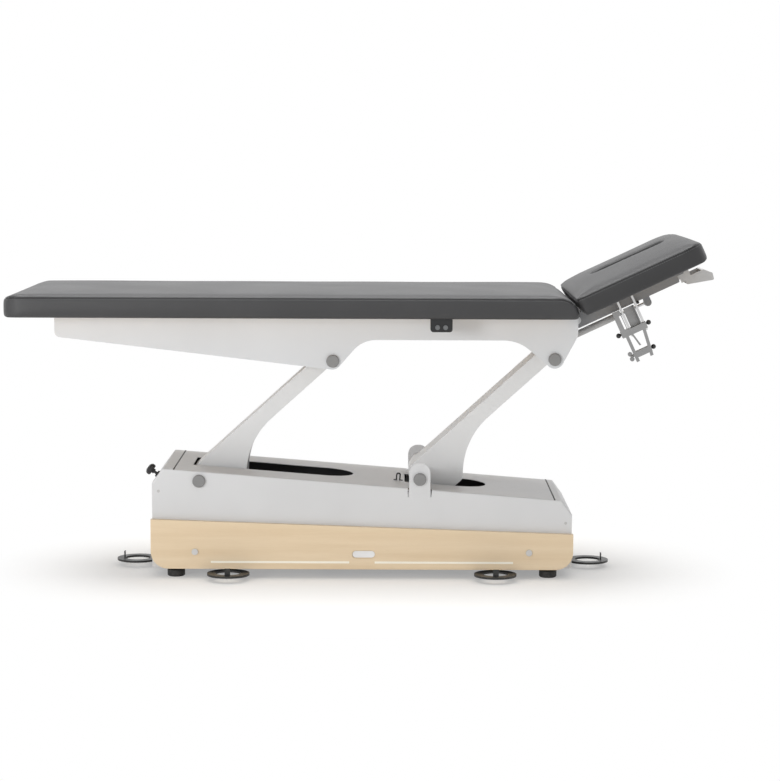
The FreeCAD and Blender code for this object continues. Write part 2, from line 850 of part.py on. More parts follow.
stem_holes = []
FOOT_PLACES = [(f"{x_side} * foot_spread / 2", f"{y_side} * (({RAIL_OUT} + {RAIL_IN}) / 2)")
               for x_side in ("-1", "1") for y_side in ("-1", "1")]
for foot_x, foot_y in FOOT_PLACES:
    stem_holes.append(rod("z", "stem_diameter + 2 * running_gap",
                          ("chassis_bottom - overlap", "chassis_bottom + stem_entry + overlap"),
                          (foot_x, foot_y)))
chassis = cut(tube_frame("0"), tube_frame("tube_wall"), *stem_holes)
EYE_HALF = "(eye_width / 2)"
CHEEK_IN = f"({EYE_HALF} + mount_gap)"
CHEEK_OUT = f"({CHEEK_IN} + mount_cheek)"
mount_parts = []
for side in ("-1", "1"):
    middle = f"{side} * ({CHEEK_IN} + mount_cheek / 2)"
    cheek = plate("cheek", "side", [
        ("mount_x - rail_width / 2", CHASSIS_TOP),
        ("mount_x + rail_width / 2", CHASSIS_TOP),
        ("mount_x + mount_eye / 2", "mount_z"),
        ("mount_x - mount_eye / 2", "mount_z"),
    ], "mount_cheek", middle)
    disc(cheek, "side", "mount_x", "mount_z", "mount_eye", "mount_cheek", middle)
    mount_parts.append(cheek)
mount_parts.append(rod("y", "actuator_pin", (f"-{CHEEK_OUT}", CHEEK_OUT), ("mount_x", "mount_z")))
node("chassis_frame", fuse(chassis, *mount_parts))

# Levelling feet: rubber pads moulded on stems that enter the rails from below.

for count, (foot_x, foot_y) in enumerate(FOOT_PLACES, start=1):
    foot = turned("levelling_foot", [
        ("0", "0"),
        ("foot_diameter / 2 - foot_taper", "0"),
        ("foot_diameter / 2", "foot_taper"),
        ("foot_diameter / 2", "foot_height - foot_taper"),
        ("foot_diameter / 2 - foot_taper", "foot_height"),
        ("foot_neck / 2", "foot_height"),
        ("foot_neck / 2", "chassis_bottom"),
        ("stem_diameter / 2", "chassis_bottom"),
        ("stem_diameter / 2", "chassis_bottom + stem_entry"),
        ("0", "chassis_bottom + stem_entry"),
    ])
    place(foot, foot_x, foot_y, "0")
    node(f"rubber_foot_{count}", foot)

# Pivot plates: thick uprights that stand against the rails and carry the two base shafts.

PLATE_MIDDLE = f"({RAIL_OUT} + pivot_plate / 2)"


def pivot_plates(pivot_x, pivot_z, radius):
    """A pair of uprights, each with a round head about its shaft."""
    pair = []
    for side in ("-1", "1"):
        middle = f"{side} * {PLATE_MIDDLE}"
        upright = plate("upright", "side", [
            (f"{pivot_x} - pivot_plate_foot / 2", "chassis_bottom"),
            (f"{pivot_x} + pivot_plate_foot / 2", "chassis_bottom"),
            (f"{pivot_x} + pivot_plate_foot / 2", CHASSIS_TOP),
            (f"{pivot_x} + {radius}", pivot_z),
            (f"{pivot_x} - {radius}", pivot_z),
            (f"{pivot_x} - pivot_plate_foot / 2", CHASSIS_TOP),
        ], "pivot_plate", middle)
        disc(upright, "side", pivot_x, pivot_z, f"2 * {radius}", "pivot_plate", middle)
        bore(upright, "side", pivot_x, pivot_z, "shaft_diameter + 2 * seat_gap",
             "pivot_plate + overlap", middle)
        pair.append(upright)
    return group(*pair)


node("foot_pivot_plates", pivot_plates("foot_pivot_x", "foot_pivot_z", "foot_plate_round"))
node("head_pivot_plates", pivot_plates(HEAD_PIVOT_X, HEAD_PIVOT_Z, "head_plate_round"))

# Shafts and their caps, at the base and again at the deck.


def shaft(x, z, outer):
    """A fixed shaft that ends just inside the caps."""
    return rod("y", "shaft_diameter", (f"-({outer})", f"({outer})"), (x, z))


def caps(places, face):
    """Round caps that stand on both side faces over the ends of the shafts."""
    made = []
    for x, z in places:
        for turn in (-90, 90):
            cap = turned("cap", [
                ("0", "shaft_end_gap"),
                ("shaft_diameter / 2 + running_gap", "shaft_end_gap"),
                ("shaft_diameter / 2 + running_gap", "0"),
                ("cap_diameter / 2", "0"),
                ("cap_diameter / 2", "cap_depth - cap_round"),
                ("cap_diameter / 2 - cap_round", "cap_depth"),
                ("0", "cap_depth"),
            ])
            cap.Placement = Placement(Vector(), Rotation(Vector(1, 0, 0), turn))
            place(cap, x, f"{-1 if turn > 0 else 1} * ({face})", z)
            made.append(cap)
    return group(*made)


node("base_shafts", group(shaft("foot_pivot_x", "foot_pivot_z", HALF),
                          shaft(HEAD_PIVOT_X, HEAD_PIVOT_Z, HALF)))
node("base_pivot_caps", caps((("foot_pivot_x", "foot_pivot_z"), (HEAD_PIVOT_X, HEAD_PIVOT_Z)),
                             HALF))

# Actuator: eye, gearbox, side motor and sleeve in one housing, and a rod that slides in the
# sleeve. The rod's eye is the linkage's open pivot, so it has play round the lever's pin.

ACTUATOR_LENGTH = f"sqrt(({LEVER_X} - mount_x) ^ 2 + ({LEVER_Z} - mount_z) ^ 2)"
GEARBOX_END = "(gearbox_start + gearbox_length)"
housing = fuse(
    rod("y", "mount_eye", (f"-{EYE_HALF}", EYE_HALF), ("0", "0")),
    block(("0", "gearbox_start + overlap"), (f"-{EYE_HALF}", EYE_HALF),
          ("-mount_neck / 2", "mount_neck / 2")),
    block(("gearbox_start", GEARBOX_END),
          ("-sleeve_diameter / 2", "motor_offset + motor_diameter / 2"),
          ("-gearbox_height / 2", "gearbox_height / 2")),
    rod("x", "motor_diameter", ("gearbox_start + bush_wall", "gearbox_start + motor_length"),
        ("motor_offset", "0")),
    rod("x", "sleeve_diameter", ("gearbox_start", "sleeve_end"), ("0", "0")),
)
node("actuator_housing", cut(
    housing,
    rod("x", "rod_diameter + 2 * running_gap", ("gearbox_start + bush_wall", "sleeve_end + overlap"),
        ("0", "0")),
    rod("y", "actuator_pin + 2 * running_gap",
        (f"-{EYE_HALF} - overlap", f"{EYE_HALF} + overlap"), ("0", "0")),
), "actuator")
rod_eye = fuse(
    rod("x", "rod_diameter",
        ("rod_start", f"{ACTUATOR_LENGTH} - actuator_pin / 2 - actuator_play"), ("0", "0")),
    rod("y", "actuator_eye", (f"-{EYE_HALF}", EYE_HALF), (ACTUATOR_LENGTH, "0")),
)
node("actuator_rod", cut(rod_eye, rod(
    "y", "actuator_pin + 2 * actuator_play", (f"-{EYE_HALF} - overlap", f"{EYE_HALF} + overlap"),
    (ACTUATOR_LENGTH, "0"))), "actuator")

# Control unit on the chassis.

node("control_unit", plate("control_case", "front", [
    ("-control_width / 2", CHASSIS_TOP),
    ("control_width / 2", CHASSIS_TOP),
    ("control_width / 2", f"{CHASSIS_TOP} + control_height", "cover_bend"),
    ("-control_width / 2", f"{CHASSIS_TOP} + control_height", "cover_bend"),
], "control_length", "control_x"))

# Cable arch on the shell's top, a small strap that holds the lead to the deck.

ARCH_LOW = shell_level("arch_x")
arch = plate("arch_strap", "side", [
    ("-arch_width / 2", "0"),
    ("arch_width / 2", "0"),
    ("arch_width / 2", "arch_rise", "arch_width / 2 - arch_flat"),
    ("-arch_width / 2", "arch_rise", "arch_width / 2 - arch_flat"),
], "arch_depth")
pocket(arch, "side", [
    ("-arch_width / 2 + arch_leg", "-1"),
    ("arch_width / 2 - arch_leg", "-1"),
    ("arch_width / 2 - arch_leg", "arch_rise - arch_leg", "arch_width / 2 - arch_leg - arch_flat"),
    ("-arch_width / 2 + arch_leg", "arch_rise - arch_leg", "arch_width / 2 - arch_leg - arch_flat"),
], "arch_depth + overlap")
for side in ("-1", "1"):
    edges = sorted((f"{side} * (arch_width / 2 - overlap)", f"{side} * (arch_width / 2 + arch_foot)"),
                   key=number)
    pad(arch, "side", rectangle(*edges, "0", "arch_leg / 2"), "arch_depth")
arch.Placement = Placement(Vector(), Rotation(Vector(0, 1, 0), 1))
bind(arch, "Placement.Rotation.Angle", "shell_fall")
place(arch, "arch_x", "arch_y", f"{ARCH_LOW} + seat_gap")
node("cable_arch", arch)

# Side panels of pale wood, with round lower corners, two inlaid strips each, and on the front
# one a pill-shaped recess with a bare plate.

PANEL_FACE = f"({HALF} + panel_thickness)"


def panel_level(x):
    return f"(panel_top - ({x}) * tan(panel_fall))"


def pill(name, length, height, depth, middle):
    """A plate with half-round ends, standing on edge."""
    reach = f"({length} - {height}) / 2"
    body = plate(name, "side", rectangle(f"badge_x - {reach}", f"badge_x + {reach}",
                                         f"badge_z - {height} / 2", f"badge_z + {height} / 2"),
                 depth, middle)
    for side in ("-", "+"):
        disc(body, "side", f"badge_x {side} {reach}", "badge_z", height, depth, middle)
    return body


STRIPS = (("-strip_end", "-strip_start"), ("strip_start", "strip_end"))
STRIP_Z = ("strip_level - strip_height / 2", "strip_level + strip_height / 2")
all_strips = []
for side, name in (("-1", "front"), ("1", "rear")):
    panel = plate("panel_" + name, "side", [
        (f"-{PANEL_END}", "panel_bottom", "panel_corner"),
        (PANEL_END, "panel_bottom", "panel_corner"),
        (PANEL_END, panel_level(PANEL_END)),
        (f"-{PANEL_END}", panel_level(f"-{PANEL_END}")),
    ], "panel_thickness", f"{side} * ({HALF} + panel_thickness / 2)")
    tools = []
    for bolt_x, bolt_z in PANEL_BOLTS:
        tools += across_both("bolt_shank + 2 * running_gap", bolt_x, bolt_z, f"{HALF} - overlap",
                             f"{PANEL_FACE} + overlap")
    for low, high in STRIPS:
        outer = (f"{side} * ({PANEL_FACE} - strip_depth)", f"{side} * ({PANEL_FACE} + overlap)")
        tools.append(block((f"{low} - seat_gap", f"{high} + seat_gap"), sorted(outer, key=number),
                           (f"{STRIP_Z[0]} - seat_gap", f"{STRIP_Z[1]} + seat_gap")))
        inner = (f"{side} * ({PANEL_FACE} - strip_depth)", f"{side} * {PANEL_FACE}")
        all_strips.append(block((low, high), sorted(inner, key=number), STRIP_Z))
    if name == "front":
        tools.append(pill("badge_recess_tool", "badge_length", "badge_height", "2 * badge_recess",
                          f"-{PANEL_FACE}"))
    node("wood_panel_" + name, cut(panel, *tools))
node("inlay_strips", group(*all_strips))
node("badge_plate", pill("bare_plate", "(badge_length - 2 * badge_margin)",
                         "(badge_height - 2 * badge_margin)", "badge_plate",
                         f"-({PANEL_FACE} - badge_recess + badge_plate / 2)"))

# Panel bolts and cover screws.


def bolts(places, face, head, head_depth, shank, length):
    """Flat-headed fasteners on both sides of the base."""
    made = []
    for x, z in places:
        heads = across_both(head, x, z, face, f"{face} + {head_depth}")
        shanks = across_both(shank, x, z, f"{face} - {length}", f"{face} + {head_depth} / 2")
        made += [fuse(top, stem) for top, stem in zip(heads, shanks)]
    return group(*made)


node("panel_bolts", bolts(PANEL_BOLTS, PANEL_FACE, "bolt_head", "bolt_head_depth", "bolt_shank",
                          "bolt_grip"))
node("cover_screws", bolts(COVER_SCREWS, HALF, "screw_head", "screw_head_depth", "screw_shank",
                           "screw_length"))

# Foot rings: flat rings on sprung levers, two off the ends and two off each long side.

LEVER_PIN = "(ring_level + ring_pin_rise)"
RING_TOP = "(ring_level + ring_thickness)"
RINGS = (
    ("-end_member", "0", 180),
    ("end_member", "0", 0),
    ("-side_member", "-side_pedal_y", -90),
    ("side_member", "-side_pedal_y", -90),
    ("-side_member", "side_pedal_y", 90),
    ("side_member", "side_pedal_y", 90),
)
brackets = []
for count, (pivot_x, pivot_y, turn) in enumerate(RINGS, start=1):
    ring = turned("ring_band", [
        ("ring_inner / 2", "ring_level"),
        ("ring_outer / 2", "ring_level"),
        ("ring_outer / 2", RING_TOP),
        ("ring_inner / 2", RING_TOP),
    ])
    place(ring, "ring_reach", "0", "0")
    lug_half = "(ring_lug_width / 2)"
    pedal = fuse(
        ring,
        block(("0", "ring_reach - ring_inner / 2 - ring_pad"), (f"-{lug_half}", lug_half),
              ("ring_level", RING_TOP)),
        rod("y", "ring_lug", (f"-{lug_half}", lug_half), ("0", LEVER_PIN)),
        block(("ring_reach + ring_outer / 2 - tab_inset - tab_thickness",
               "ring_reach + ring_outer / 2 - tab_inset"),
              ("-tab_width / 2", "tab_width / 2"), ("ring_level + overlap", f"{RING_TOP} + tab_height")),
    )
    pin_hole = rod("y", "ring_pin + 2 * running_gap", (f"-{lug_half} - overlap", f"{lug_half} + overlap"),
                   ("0", LEVER_PIN))
    cheek_in = f"({lug_half} + ring_cheek_gap)"
    cheek_out = f"({cheek_in} + ring_cheek)"
    cheeks = [block(("-ring_lug / 2", "ring_lug / 2"), sides, ("ring_level + overlap", "chassis_bottom"))
              for sides in ((f"-{cheek_out}", f"-{cheek_in}"), (cheek_in, cheek_out))]
    bracket = fuse(*cheeks, rod("y", "ring_pin", (f"-{cheek_out}", cheek_out), ("0", LEVER_PIN)))
    lever = cut(pedal, pin_hole)
    for swung in (lever, bracket):
        swung.Placement = Placement(Vector(), Rotation(Vector(0, 0, 1), turn))
        place(swung, pivot_x, pivot_y, "0")
    brackets.append(bracket)
    node(f"foot_ring_{count}", lever)
node("foot_ring_brackets", group(*brackets))

# Lift arms: hollow boxes that flare below the pivot into a lever, with a cross tube at each end.


def lift_arm(lower_reach, upper_reach):
    """One arm on its own axis: the pivot at the origin, the deck's pivot along +X."""
    body = plate("arm_box", "side", [
        ("-arm_above", "-lever_depth", "lever_round"),
        ("lever_reach", "-lever_depth", "lever_round"),
        ("flare_reach", "-arm_below", "flare_round"),
        ("arm_length + arm_end", "-arm_below", "arm_below - 2"),
        ("arm_length + arm_end", "arm_above", "arm_end_round"),
        ("-arm_above", "arm_above", "arm_foot_round"),
    ], "arm_width")
    hollow = plate("arm_hollow", "side", [
        ("-arm_above + arm_wall", "arm_wall - lever_depth", "lever_round - arm_wall"),
        ("lever_reach - arm_wall / 2", "arm_wall - lever_depth", "lever_round - arm_wall"),
        ("flare_reach - arm_wall / 2", "arm_wall - arm_below", "flare_round + arm_wall"),
        ("arm_length + arm_end - arm_wall", "arm_wall - arm_below"),
        ("arm_length + arm_end - arm_wall", "arm_above - arm_wall", "arm_end_round - arm_wall"),
        ("-arm_above + arm_wall", "arm_above - arm_wall", "arm_foot_round - arm_wall"),
    ], "arm_width - 2 * arm_wall")
    tubes = [rod("y", "pivot_tube", (f"-({reach})", f"({reach})"), (x, "0"))
             for x, reach in (("0", lower_reach), ("arm_length", upper_reach))]
    lever_x = "lever_radius * cos(lever_angle)"
    lever_z = "lever_radius * sin(lever_angle)"
    boss = rod("y", "2 * actuator_pin", ("-arm_width / 2", "arm_width / 2"), (lever_x, lever_z))
    bores = [rod("y", "shaft_diameter + 2 * bush_wall + 2 * seat_gap",
                 (f"-({reach}) - overlap", f"({reach}) + overlap"), (x, "0"))
             for x, reach in (("0", lower_reach), ("arm_length", upper_reach))]
    fork_sides = ("-fork_width / 2", "fork_width / 2")
    fork = block(("-arm_above - overlap", "lever_reach + lever_depth"), fork_sides,
                 ("-lever_depth - overlap", "-fork_depth"))
    window = block(("-arm_above - overlap", "-arm_above + arm_wall + overlap"), fork_sides,
                   ("-lever_depth - overlap", "-window_depth"))
    pin = rod("y", "actuator_pin", ("-arm_width / 2 + arm_wall", "arm_width / 2 - arm_wall"),
              (lever_x, lever_z))
    return fuse(cut(fuse(cut(body, hollow), *tubes, boss), fork, window, *bores), pin)


BASE_TUBE = f"({RAIL_OUT} - bush_flange - flange_gap)"
DECK_HALF = "(deck_width / 2)"
DECK_INSIDE = "(deck_width / 2 - deck_plate)"
DECK_TUBE = f"({DECK_INSIDE} - bush_flange - flange_gap)"


def arm_bushes():
    """Flanged bushes in both ends of an arm's two cross tubes."""
    made = []
    for x, reach in (("0", BASE_TUBE), ("arm_length", DECK_TUBE)):
        for turn in (-90, 90):
            bush = turned("bush", [
                ("shaft_diameter / 2 + running_gap", "-bush_length"),
                ("shaft_diameter / 2 + bush_wall", "-bush_length"),
                ("shaft_diameter / 2 + bush_wall", "0"),
                ("pivot_tube / 2 - bush_wall", "0"),
                ("pivot_tube / 2 - bush_wall", "bush_flange"),
                ("shaft_diameter / 2 + running_gap", "bush_flange"),
            ])
            bush.Placement = Placement(Vector(), Rotation(Vector(1, 0, 0), turn))
            place(bush, x, f"{-1 if turn > 0 else 1} * ({reach})", "0")
            made.append(bush)
    return group(*made)


for arm in ("foot_arm", "head_arm"):
    node(arm, lift_arm(BASE_TUBE, DECK_TUBE), arm)
    node(arm + "_bushes", arm_bushes(), arm)

# Deck side plates: tapered keel, round bosses at the pivots, and an arch between them.


def tangent(boss, angle, side):
    """Where a line that rises at an angle leaves the underside of a boss at the origin."""
    return f"({side} * {boss} * sin({angle}))", f"(-{boss} * cos({angle}))"


keel_x, keel_z = tangent("foot_boss", "keel_angle", "-1")
flank_x, flank_z = tangent("foot_boss", "foot_flank_angle", "1")
head_flank_x, head_flank_z = tangent("head_boss", "head_flank_angle", "-1")
rise_x, rise_z = tangent("head_boss", "rise_angle", "1")
RISE_X = f"(pivot_spacing + {rise_x})"
RISE_Z = f"(pivot_rise + {rise_z})"
HEAD_FLANK_X = f"(pivot_spacing + {head_flank_x})"
HEAD_FLANK_Z = f"(pivot_rise + {head_flank_z})"
DECK_OUTLINE = [
    ("-deck_foot_reach", "deck_height"),
    ("-deck_foot_reach", f"{keel_z} + (deck_foot_reach + {keel_x}) * tan(keel_angle)",
     "deck_foot_round"),
    (keel_x, keel_z),
    (flank_x, flank_z),
    (f"{flank_x} + (arch_height - {flank_z}) / tan(foot_flank_angle)", "arch_height",
     "foot_arch_round"),
    (f"{HEAD_FLANK_X} - (arch_height - {HEAD_FLANK_Z}) / tan(head_flank_angle)", "arch_height",
     "head_arch_round"),
    (HEAD_FLANK_X, HEAD_FLANK_Z),
    (RISE_X, RISE_Z),
    ("deck_head_reach", f"{RISE_Z} + (deck_head_reach - {RISE_X}) * tan(rise_angle)",
     "deck_head_round"),
    ("deck_head_reach", "deck_height"),
]
for side, name in (("-1", "front"), ("1", "rear")):
    middle = f"{side} * ({DECK_HALF} - deck_plate / 2)"
    web = plate("deck_web_" + name, "side", DECK_OUTLINE, "deck_plate", middle)
    for boss_x, boss_z, boss in (("0", "0", "foot_boss"), ("pivot_spacing", "pivot_rise", "head_boss")):
        disc(web, "side", boss_x, boss_z, f"2 * {boss}", "deck_plate", middle)
        bore(web, "side", boss_x, boss_z, "shaft_diameter + 2 * seat_gap", "deck_plate + overlap", middle)
    node("deck_plate_" + name, web, "deck")

node("deck_shafts", group(shaft("0", "0", DECK_HALF), shaft("pivot_spacing", "pivot_rise", DECK_HALF)),
     "deck")
node("deck_pivot_caps", caps((("0", "0"), ("pivot_spacing", "pivot_rise")), DECK_HALF), "deck")

# Crossbars of rectangular tube between the deck plates, level with their top edges. The last one
# has the gas spring's anchor welded under it: a cheek with a stub pin.

CROSSBAR_LOW = "(deck_height - crossbar_height)"
crossbars = []
for index in range(4):
    middle = f"first_crossbar + {index} * crossbar_pitch"
    outer = block((f"{middle} - crossbar_width / 2", f"{middle} + crossbar_width / 2"),
                  (f"-{DECK_INSIDE}", DECK_INSIDE), (CROSSBAR_LOW, "deck_height"))
    inner = block((f"{middle} - crossbar_width / 2 + tube_wall",
                   f"{middle} + crossbar_width / 2 - tube_wall"),
                  (f"-{DECK_INSIDE} - overlap", f"{DECK_INSIDE} + overlap"),
                  (f"{CROSSBAR_LOW} + tube_wall", "deck_height - tube_wall"))
    crossbars.append(cut(outer, inner))
CROSSBAR_FACE = "(first_crossbar + 3 * crossbar_pitch + crossbar_width / 2)"
SPRING_LOCAL_X = "(hinge_reach + spring_root_u * cos(head_tilt) - spring_v * sin(head_tilt))"
SPRING_LOCAL_Z = "(hinge_height + spring_root_u * sin(head_tilt) + spring_v * cos(head_tilt))"
SPRING_CHEEK_IN = "(spring_y + spring_eye_width / 2 + hinge_cheek_gap)"
anchor_middle = f"{SPRING_CHEEK_IN} + spring_cheek / 2"
anchor = plate("anchor_cheek", "side", [
    (f"{CROSSBAR_FACE} - crossbar_width", CROSSBAR_LOW),
    (f"{SPRING_LOCAL_X} - spring_eye / 2", f"{SPRING_LOCAL_Z} - spring_eye / 4"),
    (f"{SPRING_LOCAL_X} + spring_eye / 2", SPRING_LOCAL_Z),
    (CROSSBAR_FACE, CROSSBAR_LOW),
], "spring_cheek", anchor_middle)
disc(anchor, "side", SPRING_LOCAL_X, SPRING_LOCAL_Z, "spring_eye", "spring_cheek", anchor_middle)
anchor_pin = rod("y", "spring_pin",
                 ("spring_y - spring_eye_width / 2 - overlap", f"{SPRING_CHEEK_IN} + overlap"),
                 (SPRING_LOCAL_X, SPRING_LOCAL_Z))
crossbars[-1] = fuse(crossbars[-1], anchor, anchor_pin)
node("deck_crossbars", group(*crossbars), "deck")

# Main cushion on its board: three views together give its form.


def cushion(plan, side_view, low, high):
    """The form that the plan, the side view and the round-shouldered front view share."""
    across = plate("cushion_front", "front", [
        ("-cushion_width / 2", low),
        ("cushion_width / 2", low),
        ("cushion_width / 2", high, "seam_round"),
        ("-cushion_width / 2", high, "seam_round"),
    ], "2 * (cushion_foot_reach + cushion_head_reach)")
    along = plate("cushion_side", "side", side_view, "cushion_width + 2")
    above = plate("cushion_plan", "plan", plan, f"{high} - {low} + 2", f"({high} + {low}) / 2")
    return common(common(along, above), across)


BOARD_FOOT = "(-cushion_foot_reach + board_inset)"
BOARD_HEAD = "(cushion_head_reach - board_inset)"
BOARD_HALF = "(cushion_width / 2 - board_inset)"
CUSHION_LOW = "(deck_height + soft_gap)"
CUSHION_TOP = "(deck_height + cushion_height)"
main_form = cushion([
    ("-cushion_foot_reach", "-cushion_width / 2", "foot_plan_round"),
    ("cushion_head_reach", "-cushion_width / 2", "head_plan_round"),
    ("cushion_head_reach", "cushion_width / 2", "head_plan_round"),
    ("-cushion_foot_reach", "cushion_width / 2", "foot_plan_round"),
], [
    ("-cushion_foot_reach", CUSHION_LOW),
    ("cushion_head_reach", CUSHION_LOW),
    ("cushion_head_reach", CUSHION_TOP, "head_nose"),
    ("-cushion_foot_reach", CUSHION_TOP, "foot_nose"),
], CUSHION_LOW, CUSHION_TOP)
node("main_cushion", cut(main_form, block(
    (f"{BOARD_FOOT} - soft_gap", f"{BOARD_HEAD} + soft_gap"),
    (f"-{BOARD_HALF} - soft_gap", f"{BOARD_HALF} + soft_gap"),
    ("deck_height - overlap", "deck_height + board_thickness + soft_gap"))), "deck")
node("main_board", block((BOARD_FOOT, BOARD_HEAD), (f"-{BOARD_HALF}", BOARD_HALF),
                         ("deck_height", "deck_height + board_thickness")), "deck")

# Switch box with two buttons, under the board's front edge.

SWITCH_LOW = "(deck_height - switch_height)"
SWITCH_MIDDLE = "(-switch_front + switch_depth / 2)"
switch = plate("switch_case", "side", [
    ("switch_x - switch_length / 2", SWITCH_LOW, "switch_round"),
    ("switch_x + switch_length / 2", SWITCH_LOW, "switch_round"),
    ("switch_x + switch_length / 2", "deck_height"),
    ("switch_x - switch_length / 2", "deck_height"),
], "switch_depth", SWITCH_MIDDLE)
BUTTON_XS = ("switch_x - button_spacing / 2", "switch_x + button_spacing / 2")
button_wells = [rod("y", "button_diameter + 2 * button_play",
                    ("-switch_front - overlap", "-switch_front + button_sink + button_stand"),
                    (x, "button_rise")) for x in BUTTON_XS]
node("switch_box", cut(switch, *button_wells), "deck")
for name, x in zip(("up_button", "down_button"), BUTTON_XS):
    node(name, rod("y", "button_diameter",
                   ("-switch_front - button_stand", "-switch_front + button_sink"),
                   (x, "button_rise")), "deck")

# Hinge of the head section: cheeks that stand off the last crossbar, each with a welded pin.

RAIL_INNER = "(head_rail_y - head_rail_width / 2)"
RAIL_OUTER = "(head_rail_y + head_rail_width / 2)"
HINGE_CHEEK_IN = f"({RAIL_OUTER} + hinge_cheek_gap)"
hinge_parts = []
for side in ("-1", "1"):
    middle = f"{side} * ({HINGE_CHEEK_IN} + hinge_cheek / 2)"
    cheek = plate("hinge_cheek", "side", rectangle(
        CROSSBAR_FACE, "hinge_reach", CROSSBAR_LOW, "hinge_height + hinge_eye / 2"),
        "hinge_cheek", middle)
    disc(cheek, "side", "hinge_reach", "hinge_height", "hinge_eye", "hinge_cheek", middle)
    hinge_parts.append(cheek)
pins = across_both("hinge_pin", "hinge_reach", "hinge_height", f"{RAIL_INNER} - 2",
                   f"{HINGE_CHEEK_IN} + hinge_cheek + 2")
node("hinge_brackets", group(*[fuse(cheek, pin) for cheek, pin in zip(hinge_parts, pins)]), "deck")

# Gas spring: a cylinder with an eye, and a rod whose eye is open round the head frame's pin.

SPRING_LENGTH = "(spring_tip_u - spring_root_u)"
EYE_Y = ("spring_y - spring_eye_width / 2", "spring_y + spring_eye_width / 2")
cylinder = fuse(
    rod("y", "spring_eye", EYE_Y, ("0", "0")),
    rod("x", "spring_neck", ("0", "spring_body_start + overlap"), ("spring_y", "0")),
    rod("x", "spring_diameter", ("spring_body_start", "spring_body_end"), ("spring_y", "0")),
)
node("gas_spring_cylinder", cut(
    cylinder,
    rod("x", "spring_bore",
        ("spring_body_start + spring_base", "spring_body_end - spring_gland"), ("spring_y", "0")),
    rod("x", "spring_rod + 2 * running_gap",
        ("spring_body_end - spring_gland - overlap", "spring_body_end + overlap"),
        ("spring_y", "0")),
    rod("y", "spring_pin + 2 * running_gap",
        (f"{EYE_Y[0]} - overlap", f"{EYE_Y[1]} + overlap"), ("0", "0")),
), "spring")
OPEN_EYE = "(spring_pin + 2 * spring_play + 2 * spring_eye_wall)"
spring_rod = fuse(
    rod("x", "spring_rod", ("spring_rod_start", f"{SPRING_LENGTH} - spring_pin / 2 - spring_play"),
        ("spring_y", "0")),
    rod("x", "spring_bore - 2 * spring_slack",
        ("spring_rod_start", "spring_rod_start + spring_piston"), ("spring_y", "0")),
    rod("y", OPEN_EYE, EYE_Y, (SPRING_LENGTH, "0")),
)
node("gas_spring_rod", cut(spring_rod, rod(
    "y", "spring_pin + 2 * spring_play", (f"{EYE_Y[0]} - overlap", f"{EYE_Y[1]} + overlap"),
    (SPRING_LENGTH, "0"))), "spring")

# Head frame: two rails that taper to the hinge, cross tubes, and lugs for the gas spring and
# the release lever, welded into one piece.

RAIL_LOW = "(head_bottom - head_rail_height)"
frame_parts = []
for side in ("-1", "1"):
    middle = f"{side} * head_rail_y"
    rail = plate("head_rail", "side", [
        ("-rail_toe", RAIL_LOW, "rail_corner"),
        ("head_rail_end", RAIL_LOW, "rail_corner"),
        ("head_rail_end", "head_bottom"),
        ("head_start + 2", "head_bottom"),
        ("rail_toe", "rail_waist"),
        ("-rail_toe", "0"),
    ], "head_rail_width", middle)
    disc(rail, "side", "0", "0", "hinge_eye", "head_rail_width", middle)
    bore(rail, "side", "0", "0", "hinge_pin + 2 * running_gap", "head_rail_width + overlap", middle)
    frame_parts.append(rail)
for middle in ("near_tube", "head_rail_end - head_tube / 2 - 2"):
    frame_parts.append(block((f"{middle} - head_tube / 2", f"{middle} + head_tube / 2"),
                             (f"-{RAIL_INNER}", RAIL_INNER), (RAIL_LOW, f"{RAIL_LOW} + head_tube")))
frame_parts.append(block(("spring_tip_u - spring_eye / 2", "spring_tip_u + spring_eye / 2"),
                         (f"-{RAIL_INNER} - spring_cheek", f"-{RAIL_INNER}"),
                         ("spring_v", f"{RAIL_LOW} + overlap")))
frame_parts.append(rod("y", "spring_eye", (f"-{RAIL_INNER} - spring_cheek", f"-{RAIL_INNER}"),
                       ("spring_tip_u", "spring_v")))
frame_parts.append(rod("y", "spring_pin", (f"-{RAIL_INNER} - overlap", f"{EYE_Y[1]} + overlap"),
                       ("spring_tip_u", "spring_v")))
LEVER_HALF = "(paddle_width / 2)"
for side in ("-1", "1"):
    edges = sorted((f"{side} * ({LEVER_HALF} + lever_play)",
                    f"{side} * ({LEVER_HALF} + lever_play + lever_lug)"), key=number)
    frame_parts.append(block(("head_rail_end - lever_lug", "lever_pin_u + lever_pin"), edges,
                             ("lever_pin_v - lever_pin", "lever_pin_v + lever_pin")))
    edges = sorted((f"{side} * ({LEVER_HALF} - lever_pin_run)",
                    f"{side} * ({LEVER_HALF} + lever_lug)"), key=number)
    frame_parts.append(rod("y", "lever_pin", edges, ("lever_pin_u", "lever_pin_v")))
node("head_frame", fuse(*frame_parts), "head")

# Head board and cushion, with the face opening through both.


def face_opening(clear, low, high):
    """The long slot for the face, wider by a clearance all round."""
    straight = "(face_slot_length / 2 - face_slot_width / 2)"
    across = f"(face_slot_width / 2 + {clear})"
    ends = [rod("z", f"2 * {across}", (low, high), (f"face_slot_middle {side} {straight}", "0"))
            for side in ("-", "+")]
    return [block((f"face_slot_middle - {straight}", f"face_slot_middle + {straight}"),
                  (f"-{across}", across), (low, high)), *ends]


